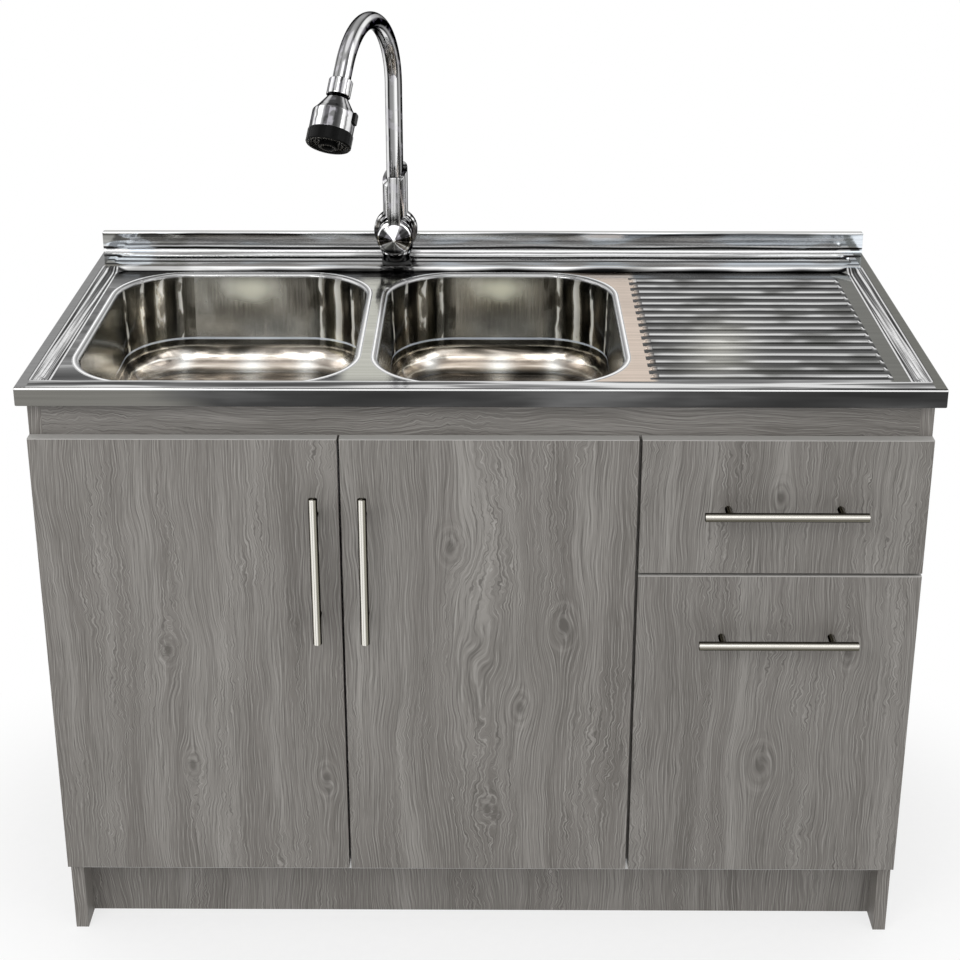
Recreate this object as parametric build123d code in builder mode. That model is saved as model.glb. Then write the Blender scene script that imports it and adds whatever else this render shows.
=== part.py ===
from build123d import *
import math
import os

# Kitchen sink unit: a pressed steel top with two bowls and a drainboard, on a melamine cabinet with two
# doors and two drawers, and a gooseneck mixer tap with a lever and a spray head.
# Millimetres, +Z up, X along the front, the front faces -Y. The origin is on the floor, midway across the
# whole width and depth.

os.makedirs("parts", exist_ok=True)

# ------------------------------------------------------------------------------ driving dimensions
# Sink top
top_width = 1200.0
top_depth = 600.0
top_height = 856.0
sheet = 1.0
fascia_height = 26.0
fascia_return = 8.0
edge_roll = 3.0
end_roll = 2.5
upstand_height = 32.0
upstand_thickness = 12.0

# Sunk deck inside the raised lip
lip_side = 16.0
lip_front = 26.0
deck_depth = 7.0
deck_slope_side = 22.0
deck_slope_front = 7.0
deck_slope_back = 4.0
deck_back = 88.0
deck_corner = 30.0
ledge_front = 80.0
ledge_back = 20.0
ledge_side = 25.0
ledge_depth = 2.0
ledge_corner = 26.0
ledge_slope = 3.0

# Bowls
left_bowl_width = 386.0
left_bowl_margin = 55.0
right_bowl_width = 344.0
bowl_gap = 21.0
bowl_front = 41.0
bowl_back = 106.0
bowl_depth = 150.0
bowl_corner = 98.0
bowl_draft = 1.9
bowl_cove = 42.0
rim_roll = 2.0
rim_width = 9.0
rim_rise = 0.8
rim_slope = 45.0
drain_radius = 45.0

# Drainboard ribs
rib_count = 16
rib_width = 12.0
rib_rise = 3.0
rib_gap = 23.0
rib_margin = 61.0
rib_front = 64.0
rib_back = 149.0

# Cabinet
carcass_side_inset = 10.0
carcass_back_inset = 17.5
panel = 18.0
board = 16.0
back_thickness = 3.0
door_thickness = 16.0
door_setback = 6.0
door_gap_behind = 0.5
door_bottom = 116.0
rail_show = 66.0
plinth_height = 104.0
kick_recess = 42.0
front_rail_height = 78.0
back_rail_height = 80.0
back_rail_drop = 68.0
divider_drop = 168.0
batten_width = 22.0
batten_height = 12.0
batten_front_gap = 8.5
batten_back_gap = 55.5
service_width = 220.0
service_height = 190.0
service_corner = 6.0

# Fronts
bowl_to_drawers = 5.0
drawer_gap = 4.0
middle_door_width = 391.0
door_gap = 3.0
upper_front_height = 193.0
front_edge_ease = 1.0

# Handles
bar_radius = 6.0
bar_length = 214.0
bar_end_ease = 0.8
post_radius = 4.5
post_spacing = 148.0
handle_reach = 32.0
door_handle_drop = 180.0
left_handle_inset = 31.0
middle_handle_inset = 30.0
upper_handle_drop = 98.0
lower_handle_drop = 91.5

# Concealed hinges
cup_radius = 17.5
cup_depth = 11.5
cup_wall = 1.0
cup_edge_distance = 22.0
hinge_rise = 90.0
hinge_drop = 137.0
wing_width = 15.0
wing_height = 60.0
wing_corner = 5.0
wing_offset = 9.5
wing_thickness = 1.2
hinge_plate_thickness = 2.5
hinge_plate_depth = 22.0
hinge_plate_height = 50.0
hinge_plate_corner = 5.5
hinge_plate_setback = 37.0
arm_width = 14.0
arm_height = 11.5
arm_wall = 1.5
arm_front = 6.0
arm_length = 62.0

# Telescopic runners
runner_length = 450.0
runner_thickness = 12.7
runner_wall = 1.2
runner_height = 45.0
runner_play = 0.4
upper_runner_rise = 51.0
lower_runner_rise = 89.0

# Drawer boxes
drawer_board = 15.0
drawer_bottom_thickness = 3.0
drawer_groove_depth = 6.0
drawer_groove_above = 10.0
groove_clearance = 0.2
upper_box_rise = 15.0
upper_box_height = 130.0
lower_box_rise = 20.0
lower_box_height = 250.0

# Waste
strainer_flange_radius = 57.0
strainer_flange = 1.5
strainer_cup_radius = 44.0
strainer_cup_depth = 42.0
strainer_wall = 2.0
waste_radius = 20.0
waste_wall = 2.0
strainer_neck = 16.0
strainer_gasket = 3.0
strainer_nut_height = 12.0
strainer_nut_radius = 54.0
strainer_nut_rib = 6.0
thread_clearance = 0.1
crosspipe_drop = 89.0
crosspipe_bend = 32.0
tee_radius = 24.0
tee_below = 34.0
tee_above = 38.0
tee_socket = 10.0
trap_depth = 132.0
trap_bend = 44.0
bend_margin = 1.0
trap_nut_rise = 60.0
outlet_rise = 114.0
outlet_behind = 2.0
slip_nut_radius = 27.0
slip_nut_height = 16.0
slip_nut_ease = 3.0

# Strainer baskets
basket_clearance = 0.25
basket_seat = 1.5
basket_rim_height = 2.0
basket_depth = 24.0
basket_wall = 1.0
basket_taper = 6.0
basket_hole_radius = 2.6
basket_hole_inset = 10.0
basket_hole_count = 12
basket_knob_radius = 7.0
basket_knob_top_radius = 5.6
basket_knob_height = 12.0
basket_knob_drop = 12.0
basket_stem_radius = 3.0

# Tap
tap_to_right_bowl = 168.0
tap_to_back = 51.0
tap_hole_radius = 17.5
tap_gasket_radius = 22.5
tap_gasket_thickness = 3.0
tap_foot_radius = 20.5
tap_foot_height = 6.0
tap_waist_radius = 25.5
tap_waist_low = 22.0
tap_waist_high = 68.0
tap_axis_height = 51.0
drum_radius = 26.5
drum_ring_radius = 33.5
drum_ring_length = 16.0
drum_ring_ease = 2.5
drum_front = 34.0
drum_back = 22.0
socket_radius = 19.3
socket_shoulder = 6.0
socket_height = 156.0
socket_bore_depth = 72.0
socket_cut_angle = 40.0
socket_cut_heading = 35.0
socket_cut_drop = 16.0
cartridge_radius = 17.5
cartridge_length = 20.0
cartridge_setback = 8.0
shank_radius = 11.0
shank_length = 66.0
tap_washer_radius = 28.0
tap_washer_thickness = 3.0
tap_nut_radius = 23.0
tap_nut_height = 12.0
inlet_radius = 5.0
inlet_length = 22.0
inlet_spacing = 11.0

# Lever
dome_radius = 25.0
dome_clearance = 0.3
cap_cover_angle = 62.0
cap_rim_radius = 27.0
cap_rim_height = 4.0
cap_cone_height = 14.0
lever_width = 19.0
lever_thickness = 6.0
lever_tip = 95.0
lever_root = 18.0
lever_root_forward = 16.0
lever_tip_forward = 12.0
lever_ease = 1.5
lever_pin_radius = 3.2
lever_ball_radius = 5.0
lever_trunnion_radius = 2.2
spindle_radius = 12.0
spindle_front = 5.0
spindle_room = 1.0
running_clearance = 0.08

# Spout and spray head
spout_radius = 13.0
spout_wall = 1.5
spout_turn = 16.4
spout_arc_radius = 113.0
spout_arc_height = 1133.0
spout_tilt = 36.0
spout_straight = 26.0
collar_radius = 17.0
collar_overlap = 4.0
collar_length = 20.0
collar_ease = 1.5
ball_centre = 30.0
ball_radius = 9.5
ball_clearance = 0.3
neck_radius = 5.5
neck_flange_radius = 9.0
neck_flange = 3.0
collar_room = 1.0
collar_end_wall = 6.0
water_bore = 3.0
ball_opening_angle = 56.0
shell_top_radius = 16.0
shell_shoulder = 40.0
shell_radius = 31.0
shell_slope = 5.0
shell_round = 3.0
shell_wall = 2.0
hollow_start_radius = 20.0
shell_end = 75.0
spray_ring_radius = 32.0
spray_ring_end = 94.0
spray_face = 3.0
ring_ease = 2.0
nozzle_radius = 13.0
nozzle_bore = 6.0
nozzle_proud = 3.0
nozzle_flange = 3.0
button_width = 13.0
button_length = 17.0
button_depth = 7.0
button_proud = 2.5
button_play = 0.25
button_guide = 1.5
button_at = 52.0
button_travel = 2.5
button_corner = 3.0
button_ease = 1.2

# ------------------------------------------------------------------------------ derived places
front_overhang = handle_reach - door_setback
top_front = -(top_depth - front_overhang) / 2
top_back = top_front + top_depth
top_middle_y = (top_front + top_back) / 2
fascia_bottom = top_height - fascia_height
deck_height = top_height - deck_depth
deck_underside = deck_height - sheet
ledge_height = top_height - ledge_depth
ledge_underside = ledge_height - sheet
bowl_floor = deck_height - bowl_depth
bowl_length = top_depth - bowl_front - bowl_back
bowl_middle_y = top_front + bowl_front + bowl_length / 2
left_bowl_x = (left_bowl_width - top_width) / 2 + left_bowl_margin
right_bowl_x = left_bowl_x + (left_bowl_width + right_bowl_width) / 2 + bowl_gap
drain_xs = (left_bowl_x, right_bowl_x)

rib_left = right_bowl_x + right_bowl_width / 2 + rib_gap
rib_right = top_width / 2 - rib_margin
rib_length = rib_right - rib_left
rib_x = (rib_left + rib_right) / 2
rib_pitch = (top_depth - rib_front - rib_back) / (rib_count - 1)

door_front = top_front + door_setback
door_back = door_front + door_thickness
carcass_front = door_back + door_gap_behind
carcass_back = top_back - carcass_back_inset
panel_back = carcass_back - back_thickness
outer_x = top_width / 2 - carcass_side_inset
inner_x = outer_x - panel
panel_top = deck_underside
floor_board_top = plinth_height + panel
rail_bottom = panel_top - front_rail_height
divider_top = panel_top - divider_drop
back_rail_top = panel_top - back_rail_drop
door_top = panel_top - rail_show
upper_front_bottom = door_top - upper_front_height
lower_front_top = upper_front_bottom - drawer_gap

drawer_left = right_bowl_x + right_bowl_width / 2 + bowl_to_drawers
middle_door_right = drawer_left - drawer_gap
middle_door_left = middle_door_right - middle_door_width
left_door_edge = middle_door_left - door_gap
left_handle_x = left_door_edge - left_handle_inset
middle_handle_x = middle_door_left + middle_handle_inset
drawer_handle_x = (drawer_left + outer_x) / 2
divider_middle = (middle_door_right + drawer_left) / 2
divider_left = divider_middle - panel / 2
divider_right = divider_middle + panel / 2

bar_y = door_front - handle_reach + bar_radius
door_handle_z = door_top - door_handle_drop
upper_handle_z = door_top - upper_handle_drop
lower_handle_z = lower_front_top - lower_handle_drop
hinge_low = door_bottom + hinge_rise
hinge_high = door_top - hinge_drop
upper_runner_z = upper_front_bottom + upper_runner_rise
lower_runner_z = door_bottom + lower_runner_rise
upper_box_low = upper_front_bottom + upper_box_rise
lower_box_low = door_bottom + lower_box_rise
drawer_box_left = divider_right + runner_thickness
drawer_box_right = inner_x - runner_thickness
drawer_box_back = carcass_front + runner_length
box_middle_y = (door_back + drawer_box_back) / 2

strainer_bottom = bowl_floor - strainer_cup_depth
neck_bottom = strainer_bottom - strainer_neck
crosspipe_z = neck_bottom - crosspipe_drop
tee_low = crosspipe_z - tee_below
tee_high = crosspipe_z + tee_above
trap_bottom = tee_low - trap_depth
trap_nut_z = trap_bottom + trap_nut_rise
outlet_z = trap_bottom + outlet_rise
trap_x = right_bowl_x
trap_rise_y = bowl_middle_y + 2 * trap_bend
outlet_start = trap_rise_y + trap_bend
outlet_end = panel_back - outlet_behind

tap_x = right_bowl_x - tap_to_right_bowl
tap_y = top_back - tap_to_back
tap_seat = ledge_height + tap_gasket_thickness
lever_axis_z = ledge_height + tap_axis_height
lever_pivot_y = tap_y - drum_front
socket_top = ledge_height + socket_height
spout_foot = socket_top - socket_bore_depth
spout_bore_radius = spout_radius + running_clearance

spout_heading = (-math.sin(math.radians(spout_turn)), -math.cos(math.radians(spout_turn)), 0)
spout_plane = Plane(
    origin=(tap_x, tap_y, 0),
    x_dir=spout_heading,
    z_dir=(spout_heading[1], -spout_heading[0], 0),
)
tilt = math.radians(spout_tilt)
spout_arc_sweep = 180 - spout_tilt
arc_end_reach = spout_arc_radius * (1 + math.cos(tilt))
arc_end_height = spout_arc_height + spout_arc_radius * math.sin(tilt)
spout_end_reach = arc_end_reach + spout_straight * math.sin(tilt)
spout_end_height = arc_end_height - spout_straight * math.cos(tilt)
spout_end = spout_plane.from_local_coords((spout_end_reach, spout_end_height, 0))
head_direction = spout_plane.from_local_coords((math.sin(tilt), -math.cos(tilt), 0)) - spout_plane.origin
head_axis = Axis(spout_end, head_direction)
# In this plane x runs along the spray head's axis from the end of the spout, and y is the radius.
head_plane = Plane(origin=spout_end, x_dir=head_direction, z_dir=spout_plane.z_dir)


# ------------------------------------------------------------------------------ shared forms
def keep(name, piece):
    """Labels a finished piece and writes it under its name."""
    piece.part.label = name
    export_step(piece.part, f"parts/{name}.step")


def slab(low, high):
    """A plain board between two opposite corners."""
    size = [abs(b - a) for a, b in zip(low, high)]
    middle = tuple((a + b) / 2 for a, b in zip(low, high))
    with BuildPart() as piece:
        with Locations(middle):
            Box(*size)
    return piece


def upright(x, y):
    """The vertical plane through a point, facing the front, for profiles turned about a vertical axis."""
    return Plane(origin=(x, y, 0), x_dir=(1, 0, 0), z_dir=(0, -1, 0))


def vertical(x, y):
    return Axis((x, y, 0), (0, 0, 1))


# ------------------------------------------------------------------------------ sink top
def bowl_form(middle_x, width, growth):
    """A bowl as a block, grown all round: nearly upright walls, wide corners and a cove at the floor."""
    with BuildPart() as form:
        with BuildSketch(Plane.XY.offset(deck_height + rim_rise)):
            with Locations((middle_x, bowl_middle_y)):
                RectangleRounded(width + 2 * growth, bowl_length + 2 * growth, bowl_corner + growth)
        extrude(amount=-bowl_depth - rim_rise - growth, taper=bowl_draft)
        fillet(form.faces().sort_by(Axis.Z)[0].edges(), bowl_cove + growth)
    return form.part


def pocket_form(side, front, back, corner, slopes, depth, growth):
    """A shallow pocket as a block: it slopes in from its outline at the lip to its floor."""
    slope_side, slope_front, slope_back = slopes
    with BuildPart() as form:
        for inset, drop in ((0, 0), (1, depth)):
            half = top_width / 2 - side - inset * slope_side + growth / 2
            low = top_front + front + inset * slope_front - growth / 2
            high = top_back - back - inset * slope_back + growth / 2
            radius = corner - inset * min(slope_side, slope_front + slope_back) + growth / 2
            with BuildSketch(Plane.XY.offset(top_height - drop - growth)):
                with Locations((0, (low + high) / 2)):
                    RectangleRounded(2 * half, high - low, radius)
        loft(ruled=True)
    return form.part


deck_shape = (
    lip_side,
    lip_front,
    deck_back,
    deck_corner,
    (deck_slope_side, deck_slope_front, deck_slope_back),
    deck_depth,
)
ledge_shape = (
    ledge_side,
    top_depth - ledge_front,
    ledge_back,
    ledge_corner,
    (ledge_slope, ledge_slope, ledge_slope),
    ledge_depth,
)

# A rib is the top of a round-ended bar that lies sunk in the deck. It's hollow underneath.
rib_radius = (rib_width**2 / 4 + rib_rise**2) / (2 * rib_rise)
rib_centre_z = deck_height + rib_rise - rib_radius
rib_places = [(rib_x, top_front + rib_front + index * rib_pitch, rib_centre_z) for index in range(rib_count)]
with BuildPart() as rib:
    with BuildSketch(Plane.XZ):
        SlotOverall(rib_length, 2 * rib_radius)
        Rectangle(rib_length, rib_radius, align=(Align.CENTER, Align.MAX), mode=Mode.SUBTRACT)
    revolve(axis=Axis.X)
    split(bisect_by=Plane.XY.offset(deck_height - sheet / 2 - rib_centre_z), keep=Keep.TOP)
with BuildPart() as rib_groove:
    with BuildSketch(Plane.XZ):
        SlotOverall(rib_length - 2 * sheet, 2 * (rib_radius - sheet))
        Rectangle(rib_length, rib_radius, align=(Align.CENTER, Align.MAX), mode=Mode.SUBTRACT)
    revolve(axis=Axis.X)
    split(bisect_by=Plane.XY.offset(deck_underside - sheet - rib_centre_z), keep=Keep.TOP)

with BuildPart() as sink_top:
    # Fascia, lip and upstand are one rolled section, closed at the ends and open underneath.
    with BuildSketch(Plane.YZ.offset(-top_width / 2)) as top_section:
        with BuildLine():
            Polyline(
                (top_front, fascia_bottom),
                (top_front, top_height),
                (top_back - upstand_thickness, top_height),
                (top_back - upstand_thickness, top_height + upstand_height),
                (top_back, top_height + upstand_height),
                (top_back, fascia_bottom),
                close=True,
            )
        make_face()
        section_corners = top_section.vertices().filter_by(lambda corner: corner.Y > fascia_bottom)
        fillet(section_corners, edge_roll)
    extrude(amount=top_width)
    end_edges = sink_top.faces().filter_by(Axis.X).edges()
    fillet(end_edges.filter_by(lambda edge: edge.center().Z > fascia_bottom), end_roll)
    offset(amount=-sheet, openings=sink_top.faces().sort_by(Axis.Z)[0])
    with BuildSketch(Plane.XY.offset(fascia_bottom)):
        with Locations((0, top_middle_y)):
            RectangleRounded(top_width - sheet, top_depth - sheet, end_roll)
            Rectangle(
                top_width - 2 * fascia_return,
                top_depth - 2 * fascia_return,
                mode=Mode.SUBTRACT,
            )
    extrude(amount=sheet)
    # Deck, tap ledge and bowls: first the outside of each pressing, then its inside.
    add(pocket_form(*deck_shape, sheet))
    add(pocket_form(*ledge_shape, sheet))
    for middle_x, width in ((left_bowl_x, left_bowl_width), (right_bowl_x, right_bowl_width)):
        add(bowl_form(middle_x, width, sheet))
    add(pocket_form(*deck_shape, 0), mode=Mode.SUBTRACT)
    add(pocket_form(*ledge_shape, 0), mode=Mode.SUBTRACT)
    for middle_x, width in ((left_bowl_x, left_bowl_width), (right_bowl_x, right_bowl_width)):
        with BuildSketch(Plane.XY.offset(deck_height)):
            with Locations((middle_x, bowl_middle_y)):
                RectangleRounded(width + 2 * rim_width, bowl_length + 2 * rim_width, bowl_corner + rim_width)
        extrude(amount=rim_rise, taper=rim_slope)
    for middle_x, width in ((left_bowl_x, left_bowl_width), (right_bowl_x, right_bowl_width)):
        add(bowl_form(middle_x, width, 0), mode=Mode.SUBTRACT)
        rim_edges = sink_top.edges().filter_by(
            lambda edge: abs(edge.center().Z - deck_height - rim_rise) < sheet / 4
            and abs(edge.center().X - middle_x) < width / 2 + sheet
            and abs(edge.center().Y - bowl_middle_y) < bowl_length / 2 + sheet
        )
        fillet(rim_edges, rim_roll)
    # Drain holes and tap hole
    with Locations(*[(x, bowl_middle_y, bowl_floor) for x in drain_xs]):
        Hole(drain_radius, 2 * sheet)
    with Locations((tap_x, tap_y, ledge_height)):
        Hole(tap_hole_radius, 2 * sheet)
    # Drainboard
    with Locations(*rib_places):
        add(rib.part)
        add(rib_groove.part, mode=Mode.SUBTRACT)

# The bowls are drawn separately and welded into the deck round the outside of their raised rims. Between
# the two bowls the welds meet in one line.
weld_offset = bowl_gap / 2


def bowl_block(middle_x, width):
    """The space inside the weld of one bowl."""
    with BuildPart() as block:
        with BuildSketch(Plane.XY.offset(bowl_floor - 2 * sheet)):
            with Locations((middle_x, bowl_middle_y)):
                RectangleRounded(
                    width + 2 * weld_offset,
                    bowl_length + 2 * weld_offset,
                    bowl_corner + weld_offset,
                )
        extrude(amount=bowl_depth + 4 * sheet)
    return block.part


bowl_blocks = {
    "bowl_left": bowl_block(left_bowl_x, left_bowl_width),
    "bowl_right": bowl_block(right_bowl_x, right_bowl_width),
}
for bowl_name, block in bowl_blocks.items():
    with BuildPart() as bowl:
        add(sink_top.part)
        add(block, mode=Mode.INTERSECT)
    keep(bowl_name, bowl)
with BuildPart() as deck:
    add(sink_top.part)
    for block in bowl_blocks.values():
        add(block, mode=Mode.SUBTRACT)
keep("sink_top", deck)

# ------------------------------------------------------------------------------ cabinet boards
def side_panel(side):
    return slab((side * inner_x, carcass_front, 0), (side * outer_x, panel_back, panel_top))


keep("side_panel_left", side_panel(-1))
keep("side_panel_right", side_panel(1))

# The divider stops below the right bowl and runs up in front of it as a stile.
with BuildPart() as divider_panel:
    with BuildSketch(Plane.YZ.offset(divider_left)):
        with BuildLine():
            Polyline(
                (carcass_front, floor_board_top),
                (carcass_front, rail_bottom),
                (carcass_front + board, rail_bottom),
                (carcass_front + board, divider_top),
                (panel_back, divider_top),
                (panel_back, floor_board_top),
                close=True,
            )
        make_face()
    extrude(amount=panel)
keep("divider_panel", divider_panel)

bottom_panel = slab((-inner_x, carcass_front, plinth_height), (inner_x, panel_back, floor_board_top))
keep("bottom_panel", bottom_panel)

kick_front = carcass_front + kick_recess
kick_board = slab((-inner_x, kick_front, 0), (inner_x, kick_front + board, plinth_height))
keep("kick_board", kick_board)

front_rail = slab((-inner_x, carcass_front, rail_bottom), (inner_x, carcass_front + board, panel_top))
back_rail_bottom = back_rail_top - back_rail_height
back_rail = slab((-inner_x, panel_back - board, back_rail_bottom), (inner_x, panel_back, back_rail_top))
with BuildPart() as rails:
    add(front_rail.part)
    add(back_rail.part)
keep("rails", rails)

# Two battens on the side panels carry the sink top along the flat of its deck.
batten_front = carcass_front + board + batten_front_gap
batten_back = carcass_back - batten_back_gap
with BuildPart() as sink_battens:
    for side in (-1, 1):
        add(
            slab(
                (side * (inner_x - batten_width), batten_front, panel_top - batten_height),
                (side * inner_x, batten_back, panel_top),
            ).part
        )
keep("sink_battens", sink_battens)

with BuildPart() as back_panel:
    with BuildSketch(Plane.XZ.offset(-panel_back)):
        with Locations((0, (plinth_height + panel_top) / 2)):
            Rectangle(2 * outer_x, panel_top - plinth_height)
        with Locations((trap_x, outlet_z)):
            RectangleRounded(service_width, service_height, service_corner, mode=Mode.SUBTRACT)
    extrude(amount=-back_thickness)
keep("back_panel", back_panel)


# ------------------------------------------------------------------------------ waste
# Each strainer hangs in its drain hole by a flange, with a seat inside for the lift-out basket.
basket_seat_z = bowl_floor + strainer_flange - basket_rim_height
strainer_inner = strainer_cup_radius - strainer_wall
waste_inner = waste_radius - waste_wall
with BuildPart() as strainers:
    for drain_x in drain_xs:
        with BuildSketch(upright(drain_x, bowl_middle_y)):
            with BuildLine():
                Polyline(
                    (strainer_inner, bowl_floor + strainer_flange),
                    (strainer_flange_radius - strainer_flange, bowl_floor + strainer_flange),
                    (strainer_flange_radius, bowl_floor),
                    (strainer_cup_radius, bowl_floor),
                    (strainer_cup_radius, strainer_bottom),
                    (waste_radius, strainer_bottom),
                    (waste_radius, neck_bottom),
                    (waste_inner, neck_bottom),
                    (waste_inner, strainer_bottom + strainer_wall),
                    (strainer_inner - basket_seat, strainer_bottom + strainer_wall),
                    (strainer_inner - basket_seat, basket_seat_z),
                    (strainer_inner, basket_seat_z),
                    close=True,
                )
            make_face()
        revolve(axis=vertical(drain_x, bowl_middle_y))
keep("strainers", strainers)

bowl_underside = bowl_floor - sheet
gasket_bottom = bowl_underside - strainer_gasket
with BuildPart() as strainer_gaskets:
    with BuildSketch(Plane.XY.offset(gasket_bottom)):
        with Locations(*[(x, bowl_middle_y) for x in drain_xs]):
            Circle(strainer_flange_radius)
            Circle(strainer_cup_radius + thread_clearance, mode=Mode.SUBTRACT)
    extrude(amount=strainer_gasket)
keep("strainer_gaskets", strainer_gaskets)

# Large plastic nuts with finger ribs
with BuildPart() as strainer_nuts:
    with BuildSketch(Plane.XY.offset(gasket_bottom - strainer_nut_height)):
        for drain_x in drain_xs:
            with Locations((drain_x, bowl_middle_y)):
                Circle(strainer_nut_radius)
                with PolarLocations(strainer_nut_radius, 8):
                    Rectangle(strainer_nut_rib, strainer_nut_rib)
                Circle(strainer_cup_radius + thread_clearance, mode=Mode.SUBTRACT)
    extrude(amount=strainer_nut_height)

# The left tail pipe bends across to a tee under the right strainer.
tee_socket_end = trap_x - tee_radius - tee_socket
with BuildPart() as cross_pipe:
    with BuildLine() as cross_route:
        FilletPolyline(
            (left_bowl_x, bowl_middle_y, neck_bottom),
            (left_bowl_x, bowl_middle_y, crosspipe_z),
            (tee_socket_end, bowl_middle_y, crosspipe_z),
            radius=crosspipe_bend,
        )
    with BuildSketch(Plane.XY.offset(neck_bottom)):
        with Locations((left_bowl_x, bowl_middle_y)):
            Circle(waste_radius)
            Circle(waste_inner, mode=Mode.SUBTRACT)
    sweep(path=cross_route.line)
keep("cross_pipe", cross_pipe)

with BuildPart() as waste_tee:
    with BuildSketch(Plane.XY.offset(tee_low)):
        with Locations((trap_x, bowl_middle_y)):
            Circle(tee_radius)
    extrude(amount=tee_high - tee_low)
    with BuildSketch(Plane.XY.offset(tee_high)):
        with Locations((trap_x, bowl_middle_y)):
            Circle(waste_radius)
    extrude(amount=neck_bottom - tee_high)
    with BuildSketch(Plane.YZ.offset(tee_socket_end)):
        with Locations((bowl_middle_y, crosspipe_z)):
            Circle(waste_radius)
    extrude(amount=trap_x - tee_socket_end)
    with BuildSketch(Plane.YZ.offset(tee_socket_end)):
        with Locations((bowl_middle_y, crosspipe_z)):
            Circle(waste_inner)
    extrude(amount=trap_x - tee_socket_end, mode=Mode.SUBTRACT)
    with BuildSketch(Plane.XY.offset(tee_low)):
        with Locations((trap_x, bowl_middle_y)):
            Circle(waste_inner)
    extrude(amount=neck_bottom - tee_low, mode=Mode.SUBTRACT)
keep("waste_tee", waste_tee)

# P-trap: down, round under the water seal, up, and back to the wall
with BuildPart() as trap:
    with BuildLine() as trap_route:
        FilletPolyline(
            (trap_x, bowl_middle_y, tee_low),
            (trap_x, bowl_middle_y, trap_bottom),
            (trap_x, trap_rise_y, trap_bottom),
            (trap_x, trap_rise_y, outlet_z),
            (trap_x, outlet_start, outlet_z),
            radius=trap_bend - bend_margin,
        )
    with BuildSketch(Plane.XY.offset(tee_low)):
        with Locations((trap_x, bowl_middle_y)):
            Circle(waste_radius)
            Circle(waste_inner, mode=Mode.SUBTRACT)
    sweep(path=trap_route.line)
    with BuildSketch(Plane.XZ.offset(-outlet_start)):
        with Locations((trap_x, outlet_z)):
            Circle(waste_radius)
            Circle(waste_inner, mode=Mode.SUBTRACT)
    extrude(amount=outlet_start - outlet_end)
keep("trap", trap)

# Ribbed slip nuts close the joints of the pipes.
joint_places = [
    Location((left_bowl_x, bowl_middle_y, neck_bottom)),
    Location((trap_x, bowl_middle_y, neck_bottom)),
    Location((trap_x, bowl_middle_y, tee_low - slip_nut_height / 2)),
    Location((tee_socket_end, bowl_middle_y, crosspipe_z), (0, 90, 0)),
    Location((trap_x, trap_rise_y, trap_nut_z)),
]
with BuildPart() as slip_nut:
    with BuildSketch(Plane.XY.offset(-slip_nut_height / 2)):
        RegularPolygon(slip_nut_radius, 8, major_radius=False)
        Circle(waste_radius + thread_clearance, mode=Mode.SUBTRACT)
    extrude(amount=slip_nut_height)
    nut_corners = slip_nut.edges().filter_by(Axis.Z).group_by(lambda edge: round(edge.center().length))[-1]
    fillet(nut_corners, slip_nut_ease)
with BuildPart() as waste_nuts:
    add(strainer_nuts.part)
    with Locations(*joint_places):
        add(slip_nut.part)
keep("waste_nuts", waste_nuts)

# ------------------------------------------------------------------------------ strainer baskets
basket_radius = strainer_inner - basket_clearance
basket_top = strainer_inner - basket_seat - 2 * basket_clearance
basket_floor = basket_seat_z + basket_wall - basket_depth


def basket(drain_x):
    with BuildPart() as piece:
        with BuildSketch(upright(drain_x, bowl_middle_y)):
            with BuildLine():
                Polyline(
                    (0, basket_floor + basket_wall),
                    (basket_top - basket_taper, basket_floor + basket_wall),
                    (basket_top - basket_wall, basket_seat_z + basket_rim_height),
                    (basket_radius, basket_seat_z + basket_rim_height),
                    (basket_radius, basket_seat_z),
                    (basket_top, basket_seat_z),
                    (basket_top - basket_taper + basket_wall, basket_floor),
                    (0, basket_floor),
                    close=True,
                )
            make_face()
        revolve(axis=vertical(drain_x, bowl_middle_y))
        with Locations((drain_x, bowl_middle_y, basket_floor)):
            with PolarLocations(basket_top - basket_taper - basket_hole_inset, basket_hole_count):
                Hole(basket_hole_radius, 2 * basket_wall)
        with BuildSketch(upright(drain_x, bowl_middle_y)):
            with BuildLine():
                Polyline(
                    (0, basket_floor),
                    (basket_stem_radius, basket_floor),
                    (basket_stem_radius, basket_knob_z),
                    (basket_knob_radius, basket_knob_z + basket_knob_height / 2),
                    (basket_knob_top_radius, basket_knob_z + basket_knob_height),
                    (0, basket_knob_z + basket_knob_height),
                    close=True,
                )
            make_face()
        revolve(axis=vertical(drain_x, bowl_middle_y))
    return piece


basket_knob_z = bowl_floor - basket_knob_drop
keep("basket_left", basket(left_bowl_x))
keep("basket_right", basket(right_bowl_x))


# ------------------------------------------------------------------------------ handles
def handle_posts(places):
    """Two posts from the front to the bar, hollowed at the end where they meet it."""
    bar_axis = (places[1][0] - places[0][0], 0, places[1][1] - places[0][1])
    middle = ((places[0][0] + places[1][0]) / 2, bar_y, (places[0][1] + places[1][1]) / 2)
    with BuildPart() as posts:
        with BuildSketch(Plane.XZ.offset(-door_front)):
            with Locations(*places):
                Circle(post_radius)
        extrude(amount=door_front - bar_y)
        with BuildSketch(Plane(origin=middle, z_dir=bar_axis)):
            Circle(bar_radius)
        extrude(amount=bar_length / 2, both=True, mode=Mode.SUBTRACT)
    return posts


def handle_bar(middle_x, middle_z, direction):
    with BuildPart() as bar:
        with BuildSketch(Plane(origin=(middle_x, bar_y, middle_z), z_dir=direction)):
            Circle(bar_radius)
        extrude(amount=bar_length / 2, both=True)
        chamfer(bar.edges().filter_by(GeomType.CIRCLE), bar_end_ease)
    return bar


# ------------------------------------------------------------------------------ doors and hinges
hinge_heights = (hinge_low, hinge_high)


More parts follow.
